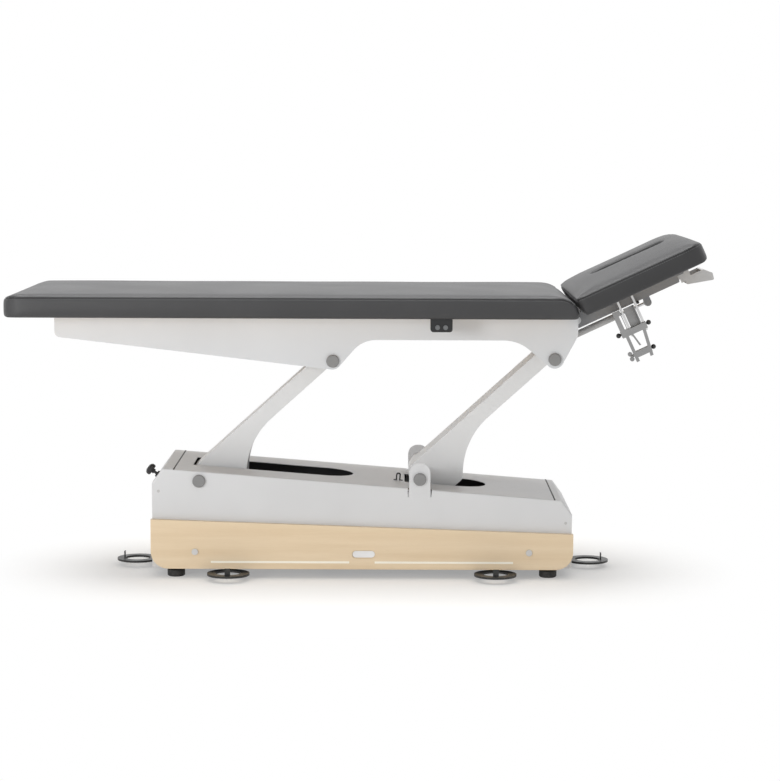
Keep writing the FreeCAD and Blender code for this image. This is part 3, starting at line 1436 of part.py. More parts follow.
HEAD_END_U = "(head_start + head_length)"
HEAD_TOP = "(head_bottom + head_height)"
HEAD_LOW = "(head_bottom + soft_gap)"
head_form = cushion([
    ("head_start", "-cushion_width / 2", "head_plan_round"),
    (HEAD_END_U, "-cushion_width / 2", "head_corner"),
    (HEAD_END_U, "cushion_width / 2", "head_corner"),
    ("head_start", "cushion_width / 2", "head_plan_round"),
], [
    ("head_start", HEAD_LOW),
    (HEAD_END_U, HEAD_LOW),
    (HEAD_END_U, HEAD_TOP, "head_nose_round"),
    ("head_start", HEAD_TOP, "head_nose_round"),
], HEAD_LOW, HEAD_TOP)
HEAD_BOARD_X = ("head_start + board_inset", f"{HEAD_END_U} - board_inset")
node("head_cushion", cut(
    head_form,
    block((f"{HEAD_BOARD_X[0]} - soft_gap", f"{HEAD_BOARD_X[1]} + soft_gap"),
          (f"-{BOARD_HALF} - soft_gap", f"{BOARD_HALF} + soft_gap"),
          ("head_bottom - overlap", "head_bottom + board_thickness + soft_gap")),
    *face_opening("0", HEAD_LOW, f"{HEAD_TOP} + overlap")), "head")
node("head_board", cut(
    block(HEAD_BOARD_X, (f"-{BOARD_HALF}", BOARD_HALF),
          ("head_bottom", "head_bottom + board_thickness")),
    *face_opening("soft_gap", "head_bottom - overlap",
                  "head_bottom + board_thickness + overlap")), "head")

# Release lever: a folded paddle that hangs on two pins at the end of the head frame.

paddle = plate("paddle_folds", "side", [
    ("paddle_start", "-paddle_drop"),
    ("paddle_start", "-paddle_drop - paddle_depth", "paddle_fold"),
    ("paddle_end", "-paddle_drop - paddle_depth - paddle_slope", "paddle_fold"),
    ("paddle_end + paddle_lip", "-paddle_drop - paddle_slope", "paddle_fold"),
    ("paddle_end - paddle_back", "-paddle_drop - paddle_slope + paddle_depth", "paddle_fold"),
    ("paddle_end - paddle_top", "-paddle_drop - paddle_slope + paddle_depth"),
], "paddle_width")
pocket(paddle, "side", [
    ("paddle_start - overlap", "-paddle_drop - paddle_depth + paddle_sheet"),
    ("paddle_end - paddle_sheet", "-paddle_drop - paddle_depth - paddle_slope + 2 * paddle_sheet"),
    ("paddle_end + paddle_lip - 2 * paddle_sheet", "-paddle_drop - paddle_slope"),
    ("paddle_end - paddle_top - 2", "-paddle_drop - paddle_slope + paddle_depth + paddle_lip"),
    ("paddle_start - overlap", "-paddle_drop + paddle_lip"),
], "paddle_width - 2 * paddle_sheet")
hangers = []
for side in ("-1", "1"):
    edges = sorted((f"{side} * ({LEVER_HALF} - paddle_sheet)", f"{side} * {LEVER_HALF}"), key=number)
    hangers.append(block(("lever_pin_u - lever_pin", "paddle_start + paddle_strap"), edges,
                         ("-paddle_drop - paddle_depth / 2", "lever_pin_v + lever_pin")))
pin_holes = rod("y", "lever_pin + 2 * running_gap",
                (f"-{LEVER_HALF} - overlap", f"{LEVER_HALF} + overlap"),
                ("lever_pin_u", "lever_pin_v"))
node("release_lever", cut(fuse(paddle, *hangers), pin_holes), "head")

# Hanging arm support: two flat bars on the near rail, and a carriage that slides up and down them.

HANGER_Y = (f"-{RAIL_OUTER} - hanger_width", f"-{RAIL_OUTER}")
CARRIAGE_LOW = "(carriage_top - carriage_block)"
CARRIAGE_Y = ("-carriage_outer", "-carriage_inner")
FRONT_Y = "-carriage_outer + strap / 2"
hanger_bars = []
guides = []
for index in range(2):
    middle = f"(hanger_first + {index} * hanger_pitch)"
    hanger_bars.append(block((f"{middle} - hanger_thickness / 2", f"{middle} + hanger_thickness / 2"),
                             HANGER_Y, ("hanger_bottom", "hanger_top")))
    guides.append(block((f"{middle} - hanger_thickness / 2 - carriage_gap",
                         f"{middle} + hanger_thickness / 2 + carriage_gap"),
                        (f"{HANGER_Y[0]} - carriage_gap", f"{HANGER_Y[1]} + carriage_gap"),
                        (f"{CARRIAGE_LOW} - overlap", "carriage_top + overlap")))
node("hanger_bars", group(*hanger_bars), "head")
slotted_strap = plate("slotted_strap", "side", rectangle(
    "carriage_left", "slot_strap_right", CARRIAGE_LOW, "slot_strap_top"), "strap", FRONT_Y)
pocket(slotted_strap, "side", [
    ("slot_left", "slot_bottom", "slot_end_round"),
    ("slot_left + slot_width_small", "slot_bottom", "slot_end_round"),
    ("slot_left + slot_width_small", "slot_top", "slot_end_round"),
    ("slot_left", "slot_top", "slot_end_round"),
], "strap + overlap", FRONT_Y)
lower_strap = plate("lower_strap", "side", rectangle(
    "lower_strap_left", "lower_strap_left + lower_strap_width", "lower_strap_end",
    "carriage_top - overlap"), "strap", FRONT_Y)
lower_bracket = plate("lower_bracket", "side", [
    ("lower_bracket_end", "lower_strap_end"),
    ("lower_bracket_end + lower_bracket_width", "lower_strap_end"),
    ("lower_bracket_top + lower_bracket_width", f"{CARRIAGE_LOW} + overlap"),
    ("lower_bracket_top", f"{CARRIAGE_LOW} + overlap"),
], "strap", FRONT_Y)
link = plate("link", "side", [
    ("link_end", f"{CARRIAGE_LOW} - link_drop"),
    ("link_end + link_width", f"{CARRIAGE_LOW} - link_drop"),
    ("link_start + link_width", f"{CARRIAGE_LOW} + overlap"),
    ("link_start", f"{CARRIAGE_LOW} + overlap"),
], "strap", "-carriage_outer + strap")
CHANNEL_Y = "(-carriage_inner - 2 * channel_sheet)"
channel_back = block(("channel_left", "channel_right"),
                     (f"{CHANNEL_Y} - channel_sheet", CHANNEL_Y),
                     ("carriage_top - overlap", "channel_top"))
channel_side = block(("channel_right - channel_sheet", "channel_right"),
                     ("-carriage_outer", CHANNEL_Y),
                     ("carriage_top - overlap", "channel_top"))
node("support_carriage", cut(fuse(
    block(("carriage_left", "carriage_right"), CARRIAGE_Y, (CARRIAGE_LOW, "carriage_top")),
    block(("lower_block_left", "lower_block_right"), ("-carriage_outer", "-carriage_inner - strap"),
          ("lower_block_top - lower_block_height", "lower_block_top")),
    slotted_strap, lower_strap, lower_bracket, link, channel_back, channel_side,
), *guides), "head")

# Clamp screws with ball knobs: three on the carriage and a small one that holds the bars.

SCREW_Y = "(-(carriage_outer + carriage_inner) / 2)"
LOWER_LEVEL = "(lower_block_top - lower_block_height / 2)"


def clamp_screw(face, outward, across, level, ball_size):
    """A ball knob on a short stem that points away from the face it presses on."""
    stem = (face, f"{face} + {outward} * clamp_neck")
    ball = document.addObject("Part::Sphere", "ball")
    ball.Placement = Placement(Vector(), Rotation(Vector(0, 0, 1), 90))
    bind(ball, "Radius", f"{ball_size} / 2")
    place(ball, f"{face} + {outward} * (clamp_neck + {ball_size} / 2 - overlap)", across, level)
    return fuse(rod("x", f"{ball_size} / 2 - overlap", sorted(stem, key=number), (across, level)), ball)


node("clamp_knob_1", clamp_screw("(carriage_right + seat_gap)", "1", SCREW_Y, "clamp_level",
                                 "clamp_ball"), "head")
node("clamp_knob_2", clamp_screw("(carriage_left - seat_gap)", "-1", SCREW_Y, "clamp_level",
                                 "clamp_ball"), "head")
node("clamp_knob_3", clamp_screw("(lower_block_right + seat_gap)", "1", SCREW_Y, LOWER_LEVEL,
                                 "clamp_ball"), "head")
node("clamp_knob_4", clamp_screw(
    "(hanger_first + hanger_pitch + hanger_thickness / 2 + seat_gap)", "1",
    f"(-{RAIL_OUTER} - hanger_width / 2)", "rail_level", "rail_ball"), "head")

# Wing screw on the lower left: a hub with two round lobes.

WING_FACE = "(lower_block_left - seat_gap)"
lobes = [rod("y", "wing_lobe", (f"{SCREW_Y} - wing_thickness / 2", f"{SCREW_Y} + wing_thickness / 2"),
             (f"{WING_FACE} - wing_reach", f"{LOWER_LEVEL} {side} wing_spread / 2"))
         for side in ("-", "+")]
node("wing_screw", fuse(*lobes, rod("x", "wing_hub", (f"{WING_FACE} - wing_reach - 2", WING_FACE),
                                    (SCREW_Y, LOWER_LEVEL))), "head")

document.recompute()
for item in document.Objects:
    if "Invalid" in item.State or "Error" in item.State:
        raise RuntimeError(f"{item.Label} did not build: {item.State}")
for piece in nodes:
    if piece.Shape.isNull() or not piece.Shape.isValid() or not piece.Shape.Solids:
        raise RuntimeError(f"{piece.Label} has no sound shape")
os.makedirs("parts", exist_ok=True)
for piece in nodes:
    piece.Shape.exportStep(f"parts/{piece.Label}.step")
print(len(nodes), "sub-parts")
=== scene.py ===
import math

import bmesh
import bpy
from mathutils import Matrix, Vector


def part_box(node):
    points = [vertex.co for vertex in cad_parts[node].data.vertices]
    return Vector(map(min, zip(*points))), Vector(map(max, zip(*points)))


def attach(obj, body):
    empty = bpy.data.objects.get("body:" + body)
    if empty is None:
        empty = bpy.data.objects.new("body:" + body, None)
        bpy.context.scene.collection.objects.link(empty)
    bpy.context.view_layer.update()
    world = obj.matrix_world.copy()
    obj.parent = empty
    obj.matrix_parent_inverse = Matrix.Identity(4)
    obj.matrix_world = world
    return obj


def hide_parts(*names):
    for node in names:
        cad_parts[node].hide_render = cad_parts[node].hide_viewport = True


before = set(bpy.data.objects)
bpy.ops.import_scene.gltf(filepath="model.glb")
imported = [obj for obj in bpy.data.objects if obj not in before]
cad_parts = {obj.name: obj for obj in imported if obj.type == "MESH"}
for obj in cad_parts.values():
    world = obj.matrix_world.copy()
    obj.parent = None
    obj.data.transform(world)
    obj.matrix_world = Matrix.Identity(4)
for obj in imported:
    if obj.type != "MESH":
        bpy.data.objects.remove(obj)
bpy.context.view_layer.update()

bpy.context.scene.view_settings.view_transform = "Standard"


# Camera. The photograph was taken with a long lens from about 6.7 m in front of the table, at
# the height of a standing person's chest, looking along +Y and a little down.

CAMERA_AT = (0.075, -6.7, 1.2457)
CAMERA_TILT = 83.77
CAMERA_ROLL = -0.22
CAMERA_LENS = 107

bpy.ops.object.camera_add(
    location=CAMERA_AT, rotation=(math.radians(CAMERA_TILT), math.radians(CAMERA_ROLL), 0))
camera = bpy.context.object
camera.name = "camera"
camera.data.lens = CAMERA_LENS
bpy.context.scene.camera = camera


# Studio air. A white sky, which only the camera, gloss and glass see at full strength, so that
# it lights the table softly and still leaves a white background.

class Link:
    """A node's output, which can stand in sums, products and comparisons."""

    def __init__(self, tree, socket):
        self.tree = tree
        self.socket = socket

    def join(self, place, value):
        if isinstance(value, Link):
            self.tree.links.new(value.socket, place)
        else:
            place.default_value = value

    def math(self, operation, *values, clamp=False):
        node = self.tree.nodes.new("ShaderNodeMath")
        node.operation = operation
        node.use_clamp = clamp
        for place, value in zip(node.inputs, values):
            self.join(place, value)
        return Link(self.tree, node.outputs[0])

    def __add__(self, other):
        return self.math("ADD", self, other)

    def __sub__(self, other):
        return self.math("SUBTRACT", self, other)

    def __rsub__(self, other):
        return self.math("SUBTRACT", other, self)

    def __mul__(self, other):
        return self.math("MULTIPLY", self, other)

    def __rmul__(self, other):
        return self.math("MULTIPLY", other, self)

    def __abs__(self):
        return self.math("ABSOLUTE", self)

    def __lt__(self, other):
        return self.math("LESS_THAN", self, other)

    def __gt__(self, other):
        return self.math("GREATER_THAN", self, other)

    def between(self, low, high):
        """0 up to low, 1 from high on, and an even rise from one to the other."""
        return self.math("MULTIPLY", self - low, 1 / (high - low), clamp=True)


class Finish:
    """A shader's nodes, with one method that adds any node to them."""

    def __init__(self, owner):
        owner.use_nodes = True
        self.tree = owner.node_tree
        self.tree.nodes.clear()

    def node(self, kind, settings=None, inputs=None, output=0):
        """Adds a node, makes its settings and joins its inputs, by name or by number."""
        made = self.tree.nodes.new("ShaderNode" + kind)
        for name, value in (settings or {}).items():
            setattr(made, name, value)
        result = Link(self.tree, made.outputs[output] if made.outputs else None)
        for name, value in (inputs or {}).items():
            result.join(made.inputs[name], value)
        return result

    def mix(self, share, low, high):
        """A colour that goes from low to high as the share goes from 0 to 1."""
        return self.node("Mix", {"data_type": "RGBA"}, {0: share, 6: low, 7: high}, output=2)

    def place(self, scale=(1, 1, 1), turn=(0, 0, 0)):
        """Object coordinates, stretched and turned."""
        return self.node("Mapping", inputs={
            "Vector": self.node("TexCoord", output=3), "Scale": scale, "Rotation": turn})

    def along(self, axis):
        """One of the object coordinates, in metres."""
        return self.node("SeparateXYZ", inputs={0: self.node("TexCoord", output=3)}, output=axis)

    def noise(self, scale, detail=2, vector=None, distortion=0):
        return self.node("TexNoise", inputs={
            "Vector": vector or self.place(), "Scale": scale, "Detail": detail,
            "Distortion": distortion})

    def bump(self, height, distance, strength=1.0):
        return self.node("Bump", inputs={
            "Height": height, "Distance": distance, "Strength": strength})

    def shade(self, **values):
        """Ends the material in a Principled shader with these values or links."""
        inputs = {name.replace("_", " "): value for name, value in values.items()}
        shader = self.node("BsdfPrincipled", inputs=inputs)
        self.node("OutputMaterial", inputs={"Surface": shader})


WHITE = (1, 1, 1, 1)
SKY_LIGHT = 0.54


def seen_directly(shader):
    """1 for what the camera, gloss and glass see, 0 for what only lights a surface."""
    straight = shader.node("LightPath", output=0)
    gloss = shader.node("LightPath", output=3)
    glass = shader.node("LightPath", output=6)
    return straight.math("MAXIMUM", straight, straight.math("MAXIMUM", gloss, glass))


world = bpy.data.worlds.new("studio_air")
bpy.context.scene.world = world
air = Finish(world)
lit = air.node("Background", inputs={"Color": WHITE, "Strength": SKY_LIGHT})
shown = air.node("Background", inputs={"Color": WHITE, "Strength": 1})
air.node("OutputWorld", inputs={
    "Surface": air.node("MixShader", inputs={0: seen_directly(air), 1: lit, 2: shown})})


# Studio floor. Matt and nearly white, with a slightly warm shade, so that the table's soft
# shadow stays; further out it turns to the plain white of the background.

FLOOR_SIZE = 60
FLOOR_TONE = (0.94, 0.93, 0.91, 1)
FLOOR_PALENESS = 0.32
SHADOW_STRETCH = 0.92
SHADOW_INNER = 0.64
SHADOW_OUTER = 1.0

bpy.ops.object.select_all(action="DESELECT")
bpy.ops.mesh.primitive_plane_add(size=FLOOR_SIZE)
floor = bpy.context.object
floor.name = "studio_floor"
floor_white = bpy.data.materials.new("studio_floor_white")
ground = Finish(floor_white)
distance = ground.node("VectorMath", {"operation": "LENGTH"},
                       {0: ground.place(scale=(SHADOW_STRETCH, 1, 1))}, output=1)
fade = distance.between(SHADOW_INNER, SHADOW_OUTER) * (1 - FLOOR_PALENESS) + FLOOR_PALENESS
share = fade * seen_directly(ground)
matt = ground.node("BsdfDiffuse", inputs={"Color": FLOOR_TONE})
plain = ground.node("Emission", inputs={"Color": WHITE, "Strength": 1})
ground.node("OutputMaterial", inputs={
    "Surface": ground.node("MixShader", inputs={0: share, 1: matt, 2: plain})})
floor.data.materials.append(floor_white)


# Studio lamps. A soft box on the left in front, a little above the table, which gives the caps
# and the switch box their shade on the right, and a wide panel overhead.

def lamp(name, at, towards, width, height, power):
    """A rectangular area lamp that faces a point."""
    bpy.ops.object.light_add(type="AREA", location=at)
    made = bpy.context.object
    made.name = name
    made.data.shape = "RECTANGLE"
    made.data.size = width
    made.data.size_y = height
    made.data.energy = power
    made.rotation_euler = (Vector(towards) - Vector(at)).to_track_quat("-Z", "Y").to_euler()


lamp("front_box", (-2.6, -3.6, 1.1), (0.1, -0.2, 0.5), 1.2, 1.0, 49)
lamp("overhead_panel", (0, 0.3, 3.6), (0, 0.3, 0), 4.0, 2.4, 135)


# Base shell and its two end covers. Folded steel sheet in pale grey powder coat, open below and
# screwed on over the chassis; painted shade colours its inside near black.

SHELL_GREY = (0.68, 0.685, 0.695, 1)
# Painted shade: this near black on the shell's inner side stands in for the shade inside it.
SHELL_PAINTED_SHADE = (0.035, 0.035, 0.037, 1)
HALF_SHEET = 0.0015
SHELL_HALF_LENGTH = 0.595
SHELL_HALF_WIDTH = 0.2
TOP_FALL = 0.07747
TOP_MIDDLE = 0.2685
SLOPE_UP = 0.591
SLOPE_OUT = 0.807
FOOT_SLOPE_REACH = 0.6404
HEAD_SLOPE_REACH = 0.5887


def darker(colour, share):
    """The same colour with its light cut to a share."""
    return tuple(share * value for value in colour[:3]) + (1,)


def finish(name):
    """A new material, ready for its nodes."""
    return Finish(bpy.data.materials.new(name))


def dress(material, *nodes):
    """Gives CAD nodes a finish in each of their material slots."""
    for name in nodes:
        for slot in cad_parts[name].material_slots:
            slot.material = bpy.data.materials[material]


def powder_coat(name, colour, inner=None, roughness=0.42):
    """Powder coat: a faint orange peel, a slightly uneven tone and soft handling marks. Where
    inner, a mask, is 1, painted shade colours it near black."""
    paint = finish(name)
    tone = paint.noise(2.6, 3).between(0.35, 0.65)
    marks = paint.noise(38, 5).between(0.5, 0.75)
    skin = paint.mix(tone, darker(colour, 0.955), darker(colour, 1.02))
    # Painted shade: inside the shell the coat is coloured near black.
    if inner:
        skin = paint.mix(inner(paint), skin, SHELL_PAINTED_SHADE)
    paint.shade(Base_Color=skin, Roughness=marks * 0.08 + roughness,
                Normal=paint.bump(paint.noise(420, 1), 0.0004, 0.35))


def inside_shell(paint):
    """1 on the inner side of the folded sheet, and 0 on its outer side: deeper than half the
    sheet below the sides, the ends, the sloping top and the steeper slopes beside it."""
    length, height = paint.along(0), paint.along(2)
    sides = abs(paint.along(1)) < SHELL_HALF_WIDTH - HALF_SHEET
    ends = abs(length) < SHELL_HALF_LENGTH - HALF_SHEET
    top = height + length * TOP_FALL < TOP_MIDDLE - HALF_SHEET
    foot_slope = height * SLOPE_UP - length * SLOPE_OUT < FOOT_SLOPE_REACH - HALF_SHEET
    head_slope = height * SLOPE_UP + length * SLOPE_OUT < HEAD_SLOPE_REACH - HALF_SHEET
    return sides * ends * top * foot_slope * head_slope


powder_coat("shell_powder_coat", SHELL_GREY, inside_shell)
dress("shell_powder_coat", "base_shell", "foot_end_cover", "head_end_cover")


# Gap seals. Two thin black rubber strips across the shell's top, pressed into the gaps that the
# end covers leave, with a slightly domed edge that stands just proud of the coat.

SEAL_WIDTH = 0.0042
SEAL_LENGTH = 0.397
SEAL_PROUD = 0.0004
SEAL_DEPTH = 0.0022
SEAL_EDGE = 0.0005


def gap_seal(name, x):
    """A strip along Y in the sloping top at x, bevelled along its edges."""
    bpy.ops.object.select_all(action="DESELECT")
    bpy.ops.mesh.primitive_cube_add(
        size=1, location=(x, 0, TOP_MIDDLE - TOP_FALL * x + SEAL_PROUD - SEAL_DEPTH / 2),
        rotation=(0, math.atan(TOP_FALL), 0), scale=(SEAL_WIDTH, SEAL_LENGTH, SEAL_DEPTH))
    seal = bpy.context.object
    seal.name = name
    bpy.ops.object.transform_apply(location=True, rotation=True, scale=True)
    edge = seal.modifiers.new("edge", "BEVEL")
    edge.width = SEAL_EDGE
    edge.segments = 3
    bpy.ops.object.modifier_apply(modifier="edge")
    bpy.ops.object.shade_smooth_by_angle(angle=math.radians(40))
    seal.data.materials.append(bpy.data.materials["seal_black_rubber"])
    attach(seal, "base")


def black_rubber(name, colour, roughness):
    """Black rubber with a matt moulded grain and pale dust low down."""
    rubber = finish(name)
    dust = rubber.along(2).between(0.03, 0.0) * rubber.noise(120, 5).between(0.4, 0.7)
    skin = rubber.mix(dust * 0.5, colour, (0.10, 0.098, 0.092, 1))
    rubber.shade(Base_Color=skin, Roughness=dust * 0.2 + roughness,
                 Normal=rubber.bump(rubber.noise(500, 2), 0.0004, 0.5))


black_rubber("seal_black_rubber", (0.010, 0.010, 0.010, 1), 0.6)
gap_seal("foot_cover_gap_seal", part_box("foot_end_cover")[1][0])
gap_seal("head_cover_gap_seal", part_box("head_end_cover")[0][0])


# Chassis of welded rectangular tube in a dark matt coat, with its pale pivot plates, and the
# bright turned shafts that the lift arms swing on, each under a grey moulded cap.

def dark_paint(name, colour, roughness):
    """Dark matt paint with a fine grain and dust that gathers in soft patches."""
    paint = finish(name)
    dust = paint.noise(14, 6).between(0.45, 0.8)
    skin = paint.mix(dust * 0.6, colour, tuple(value * 1.6 + 0.01 for value in colour[:3]) + (1,))
    paint.shade(Base_Color=skin, Roughness=dust * 0.15 + roughness,
                Normal=paint.bump(paint.noise(700, 2), 0.0003, 0.5))


def lined_metal(name, colour, roughness, axis):
    """Metal with the fine lines of its turning, rolling or milling along one axis."""
    metal = finish(name)
    stretch = [220.0, 220.0, 220.0]
    stretch[axis] = 6.0
    lines = metal.noise(1, 4, metal.place(scale=stretch))
    haze = metal.noise(9, 3).between(0.35, 0.65)
    metal.shade(Base_Color=metal.mix(haze, darker(colour, 0.86), colour), Metallic=1.0,
                Roughness=lines * 0.16 + roughness, Normal=metal.bump(lines, 0.0001, 0.4))


def moulded_plastic(name, colour, roughness):
    """Moulded plastic with a fine spark-eroded texture and spots rubbed smoother."""
    plastic = finish(name)
    drift = plastic.noise(20, 3).between(0.35, 0.65)
    rubbed = plastic.noise(60, 4).between(0.5, 0.8)
    plastic.shade(Base_Color=plastic.mix(drift, darker(colour, 0.9), colour),
                  Roughness=rubbed * -0.08 + roughness,
                  Normal=plastic.bump(plastic.noise(900, 2), 0.0002, 0.6))


dark_paint("chassis_matt_paint", (0.022, 0.022, 0.024, 1), 0.55)
dress("chassis_matt_paint", "chassis_frame")
powder_coat("pivot_plate_coat", SHELL_GREY)
dress("pivot_plate_coat", "foot_pivot_plates", "head_pivot_plates")
lined_metal("turned_shaft_steel", (0.62, 0.62, 0.63, 1), 0.24, 1)
dress("turned_shaft_steel", "base_shafts", "deck_shafts")
moulded_plastic("cap_grey_plastic", (0.255, 0.255, 0.255, 1), 0.42)
dress("cap_grey_plastic", "base_pivot_caps", "deck_pivot_caps")


# Works inside the base: the lift actuator with its polished rod, the control unit and the mains
# inlet, all bolted to the chassis, and the cable arch that stands out of the shell's top.

moulded_plastic("actuator_grey_case", (0.09, 0.095, 0.10, 1), 0.5)
dress("actuator_grey_case", "actuator_housing", "control_unit")
lined_metal("polished_rod_steel", (0.66, 0.66, 0.67, 1), 0.16, 0)
dress("polished_rod_steel", "actuator_rod")
moulded_plastic("inlet_black_plastic", (0.018, 0.018, 0.02, 1), 0.45)
dress("inlet_black_plastic", "mains_inlet", "cable_arch")


# Wooden side panels, 18 mm solid pale wood under clear lacquer, with a lighter inlaid strip on
# each side of a recessed, blank metal plate, and held by bolts.

WOOD_LIGHT = (0.83, 0.675, 0.475, 1)
WOOD_DARK = (0.72, 0.55, 0.35, 1)


def lacquered_wood(name, light, dark, coat):
    """Pale wood sawn along X: drawn-out figure, darker late wood, short pores and lacquer."""
    wood = finish(name)
    sway = wood.noise(1.1, 2, wood.place(scale=(1.0, 3.0, 5.0)))
    height = wood.along(2) + sway * 0.10 + wood.along(1) * 0.35
    bands = height.math("SINE", height * 150.0) * 0.5 + 0.5
    figure = wood.noise(1, 5, wood.place(scale=(2.2, 30.0, 46.0)), distortion=0.7)
    fibre = wood.noise(1, 3, wood.place(scale=(24.0, 500.0, 640.0)))
    pores = wood.noise(1, 2, wood.place(scale=(60.0, 900.0, 1100.0))).between(0.66, 0.74)
    share = bands * 0.22 + figure.between(0.3, 0.75) * 0.5 + fibre.between(0.3, 0.7) * 0.2
    skin = wood.mix(pores * 0.25, wood.mix(share, light, dark), darker(dark, 0.72))
    wood.shade(Base_Color=skin, Roughness=fibre * 0.12 + 0.40, Coat_Weight=coat,
               Coat_Roughness=0.28, Normal=wood.bump(fibre - pores * 0.6, 0.0002, 0.35))


lacquered_wood("side_panel_wood", WOOD_LIGHT, WOOD_DARK, 0.35)
dress("side_panel_wood", "wood_panel_front", "wood_panel_rear")
lacquered_wood("inlay_light_wood", (1.0, 0.95, 0.83, 1), (0.97, 0.90, 0.76, 1), 0.5)
dress("inlay_light_wood", "inlay_strips")
lined_metal("plate_brushed_aluminium", (0.80, 0.80, 0.80, 1), 0.34, 0)
dress("plate_brushed_aluminium", "badge_plate")
lined_metal("bolt_steel", (0.58, 0.57, 0.56, 1), 0.30, 2)
dress("bolt_steel", "panel_bolts", "cover_screws")


# Rubber levelling feet, the lock knob on the foot end and the six foot rings that call the lift
# from all round the base: black rubber, black moulded plastic and black painted steel.

black_rubber("foot_black_rubber", (0.012, 0.012, 0.012, 1), 0.55)
dress("foot_black_rubber", *(f"rubber_foot_{number}" for number in range(1, 5)))
moulded_plastic("knob_black_plastic", (0.014, 0.014, 0.015, 1), 0.38)
dress("knob_black_plastic", "lock_knob", "lock_knob_bush")
dark_paint("ring_black_paint", (0.017, 0.017, 0.017, 1), 0.34)
dress("ring_black_paint", "foot_ring_brackets",
      *(f"foot_ring_{number}" for number in range(1, 7)))


# Lift arms. Two welded boxes of steel sheet in the palest coat, with flanged sliding bushes in
# their pivot tubes.

powder_coat("arm_powder_coat", (0.77, 0.775, 0.78, 1))
dress("arm_powder_coat", "foot_arm", "head_arm")
moulded_plastic("bush_white_plastic", (0.70, 0.67, 0.58, 1), 0.5)
dress("bush_white_plastic", "foot_arm_bushes", "head_arm_bushes")


# Deck. Two side plates cut from thick sheet in a pale and slightly bluish coat, joined by square
# crossbars, and the hinge brackets of the head section.

powder_coat("deck_powder_coat", (0.705, 0.72, 0.74, 1))
dress("deck_powder_coat", "deck_plate_front", "deck_plate_rear", "deck_crossbars",
      "hinge_brackets")


# Boards of birch plywood under both cushions, with their layers showing at the edges.

def plywood(name):
    """Raw birch plywood: thin layers at the edges and a soft figure on the faces."""
    wood = finish(name)
    height = wood.along(2)
    layer = height.math("PINGPONG", height, 0.0015).between(0.0004, 0.0011)
    figure = wood.noise(1, 4, wood.place(scale=(3.0, 40.0, 40.0)), distortion=0.5)
    skin = wood.mix(figure.between(0.3, 0.7), (0.60, 0.45, 0.27, 1), (0.50, 0.35, 0.19, 1))
    wood.shade(Base_Color=wood.mix(layer * 0.6, skin, (0.36, 0.23, 0.12, 1)),
               Roughness=figure * 0.15 + 0.6, Normal=wood.bump(figure, 0.0003, 0.4))


plywood("board_birch_plywood")
dress("board_birch_plywood", "main_board", "head_board")


# Main cushion. One piece of firm foam in a soft grained cover, sewn from a top panel and a side
# band and drawn in under the board. Its head end is rounded like a nose.

LEATHER_LIGHT = (0.057, 0.057, 0.059, 1)
LEATHER_DARK = (0.049, 0.049, 0.051, 1)
FOAM_SWELL = 0.003
FOAM_WAVE = 0.0008
AIR_FORCE = 4
CLOTH_STEPS = 20
BOARD_GAP = 0.0003
ON_PLANE = 0.0001
TOP_SLACK = 0.001
SHARP_FOLD = 0.8
SEAM_DROP = 0.006
SEAM_PULL = 0.0022
SEAM_CREASE = 0.75
BESIDE_SEAM = 0.3
UNDER_ROUND = 0.009
UNDER_ROWS = [0, 0.004, 0.011]
TOP_ROWS = [0, 0.003, SEAM_DROP, 0.010, 0.018]
HEIGHT_STEP = 0.011


def stations(low, high, near_low, near_high, step):
    """Divisions from low to high: set ones near each end, at their distances from it, and even
    ones between."""
    first = [low + distance for distance in near_low]
    last = [high - distance for distance in reversed(near_high)]
    count = max(1, round((last[0] - first[-1]) / step))
    pitch = (last[0] - first[-1]) / count
    return first + [first[-1] + pitch * number for number in range(1, count)] + last


def gridded_block(name, *divisions):
    """A block whose faces are divided at the given places along X, Y and Z. It starts as a
    cube one metre wide, whose edges along an axis are cut evenly, and is then drawn to size."""
    bpy.ops.object.select_all(action="DESELECT")
    bpy.ops.mesh.primitive_cube_add(size=1)
    block = bpy.context.object
    block.name = name
    bpy.ops.object.mode_set(mode="EDIT")
    bpy.ops.mesh.select_mode(type="EDGE")
    for axis, places in enumerate(divisions):
        bpy.ops.mesh.select_all(action="DESELECT")
        form = bmesh.from_edit_mesh(block.data)
        for edge in form.edges:
            first, last = edge.verts
            edge.select_set(abs(first.co[axis] - last.co[axis]) > 0.9)
        bmesh.update_edit_mesh(block.data)
        bpy.ops.mesh.subdivide(number_cuts=len(places) - 2)
    bpy.ops.object.mode_set(mode="OBJECT")
    for vertex in block.data.vertices:
        vertex.co = [places[round((vertex.co[axis] + 0.5) * (len(places) - 1))]
                     for axis, places in enumerate(divisions)]
    return block


def rounding(spot, corner, radius, core=0):
    """How far a point near a square corner moves to make it round. The corner gives, for two
    axes, each one's edge and which way is outwards. Points within the core stay."""
    reach = [radius + way * (spot[axis] - edge) for axis, edge, way in corner]
    step = Vector((0, 0, 0))
    most = max(reach)
    if min(reach) > 0 and most > core:
        share = min(1, (most - core) / (radius - core))
        pull = share * (1 - most / math.hypot(*reach))
        for (axis, _, way), run in zip(corner, reach):
            step[axis] = -way * run * pull
    return step


def round_cushion(block, low, high, noses, plan_corners, shoulder, board_inset):
    """Rounds the end noses, the long top edges, the plan corners and, more tightly, the edges
    below of a divided block."""
    for vertex in block.data.vertices:
        spot = vertex.co.copy()
        step = Vector((0, 0, 0))
        for edge, way, nose, corner in ((low[0], -1, noses[0], plan_corners[0]),
                                        (high[0], 1, noses[1], plan_corners[1])):
            step += rounding(spot, ((0, edge, way), (2, high[2], 1)), nose)
            step += rounding(spot, ((0, edge, way), (2, low[2], -1)), UNDER_ROUND)
            for side, outward in ((low[1], -1), (high[1], 1)):
                step += rounding(spot, ((0, edge, way), (1, side, outward)), corner,
                                 max(0, corner - board_inset))
        for side, outward in ((low[1], -1), (high[1], 1)):
            step += rounding(spot, ((1, side, outward), (2, high[2], 1)), shoulder)
            step += rounding(spot, ((1, side, outward), (2, low[2], -1)), UNDER_ROUND)
        vertex.co += step


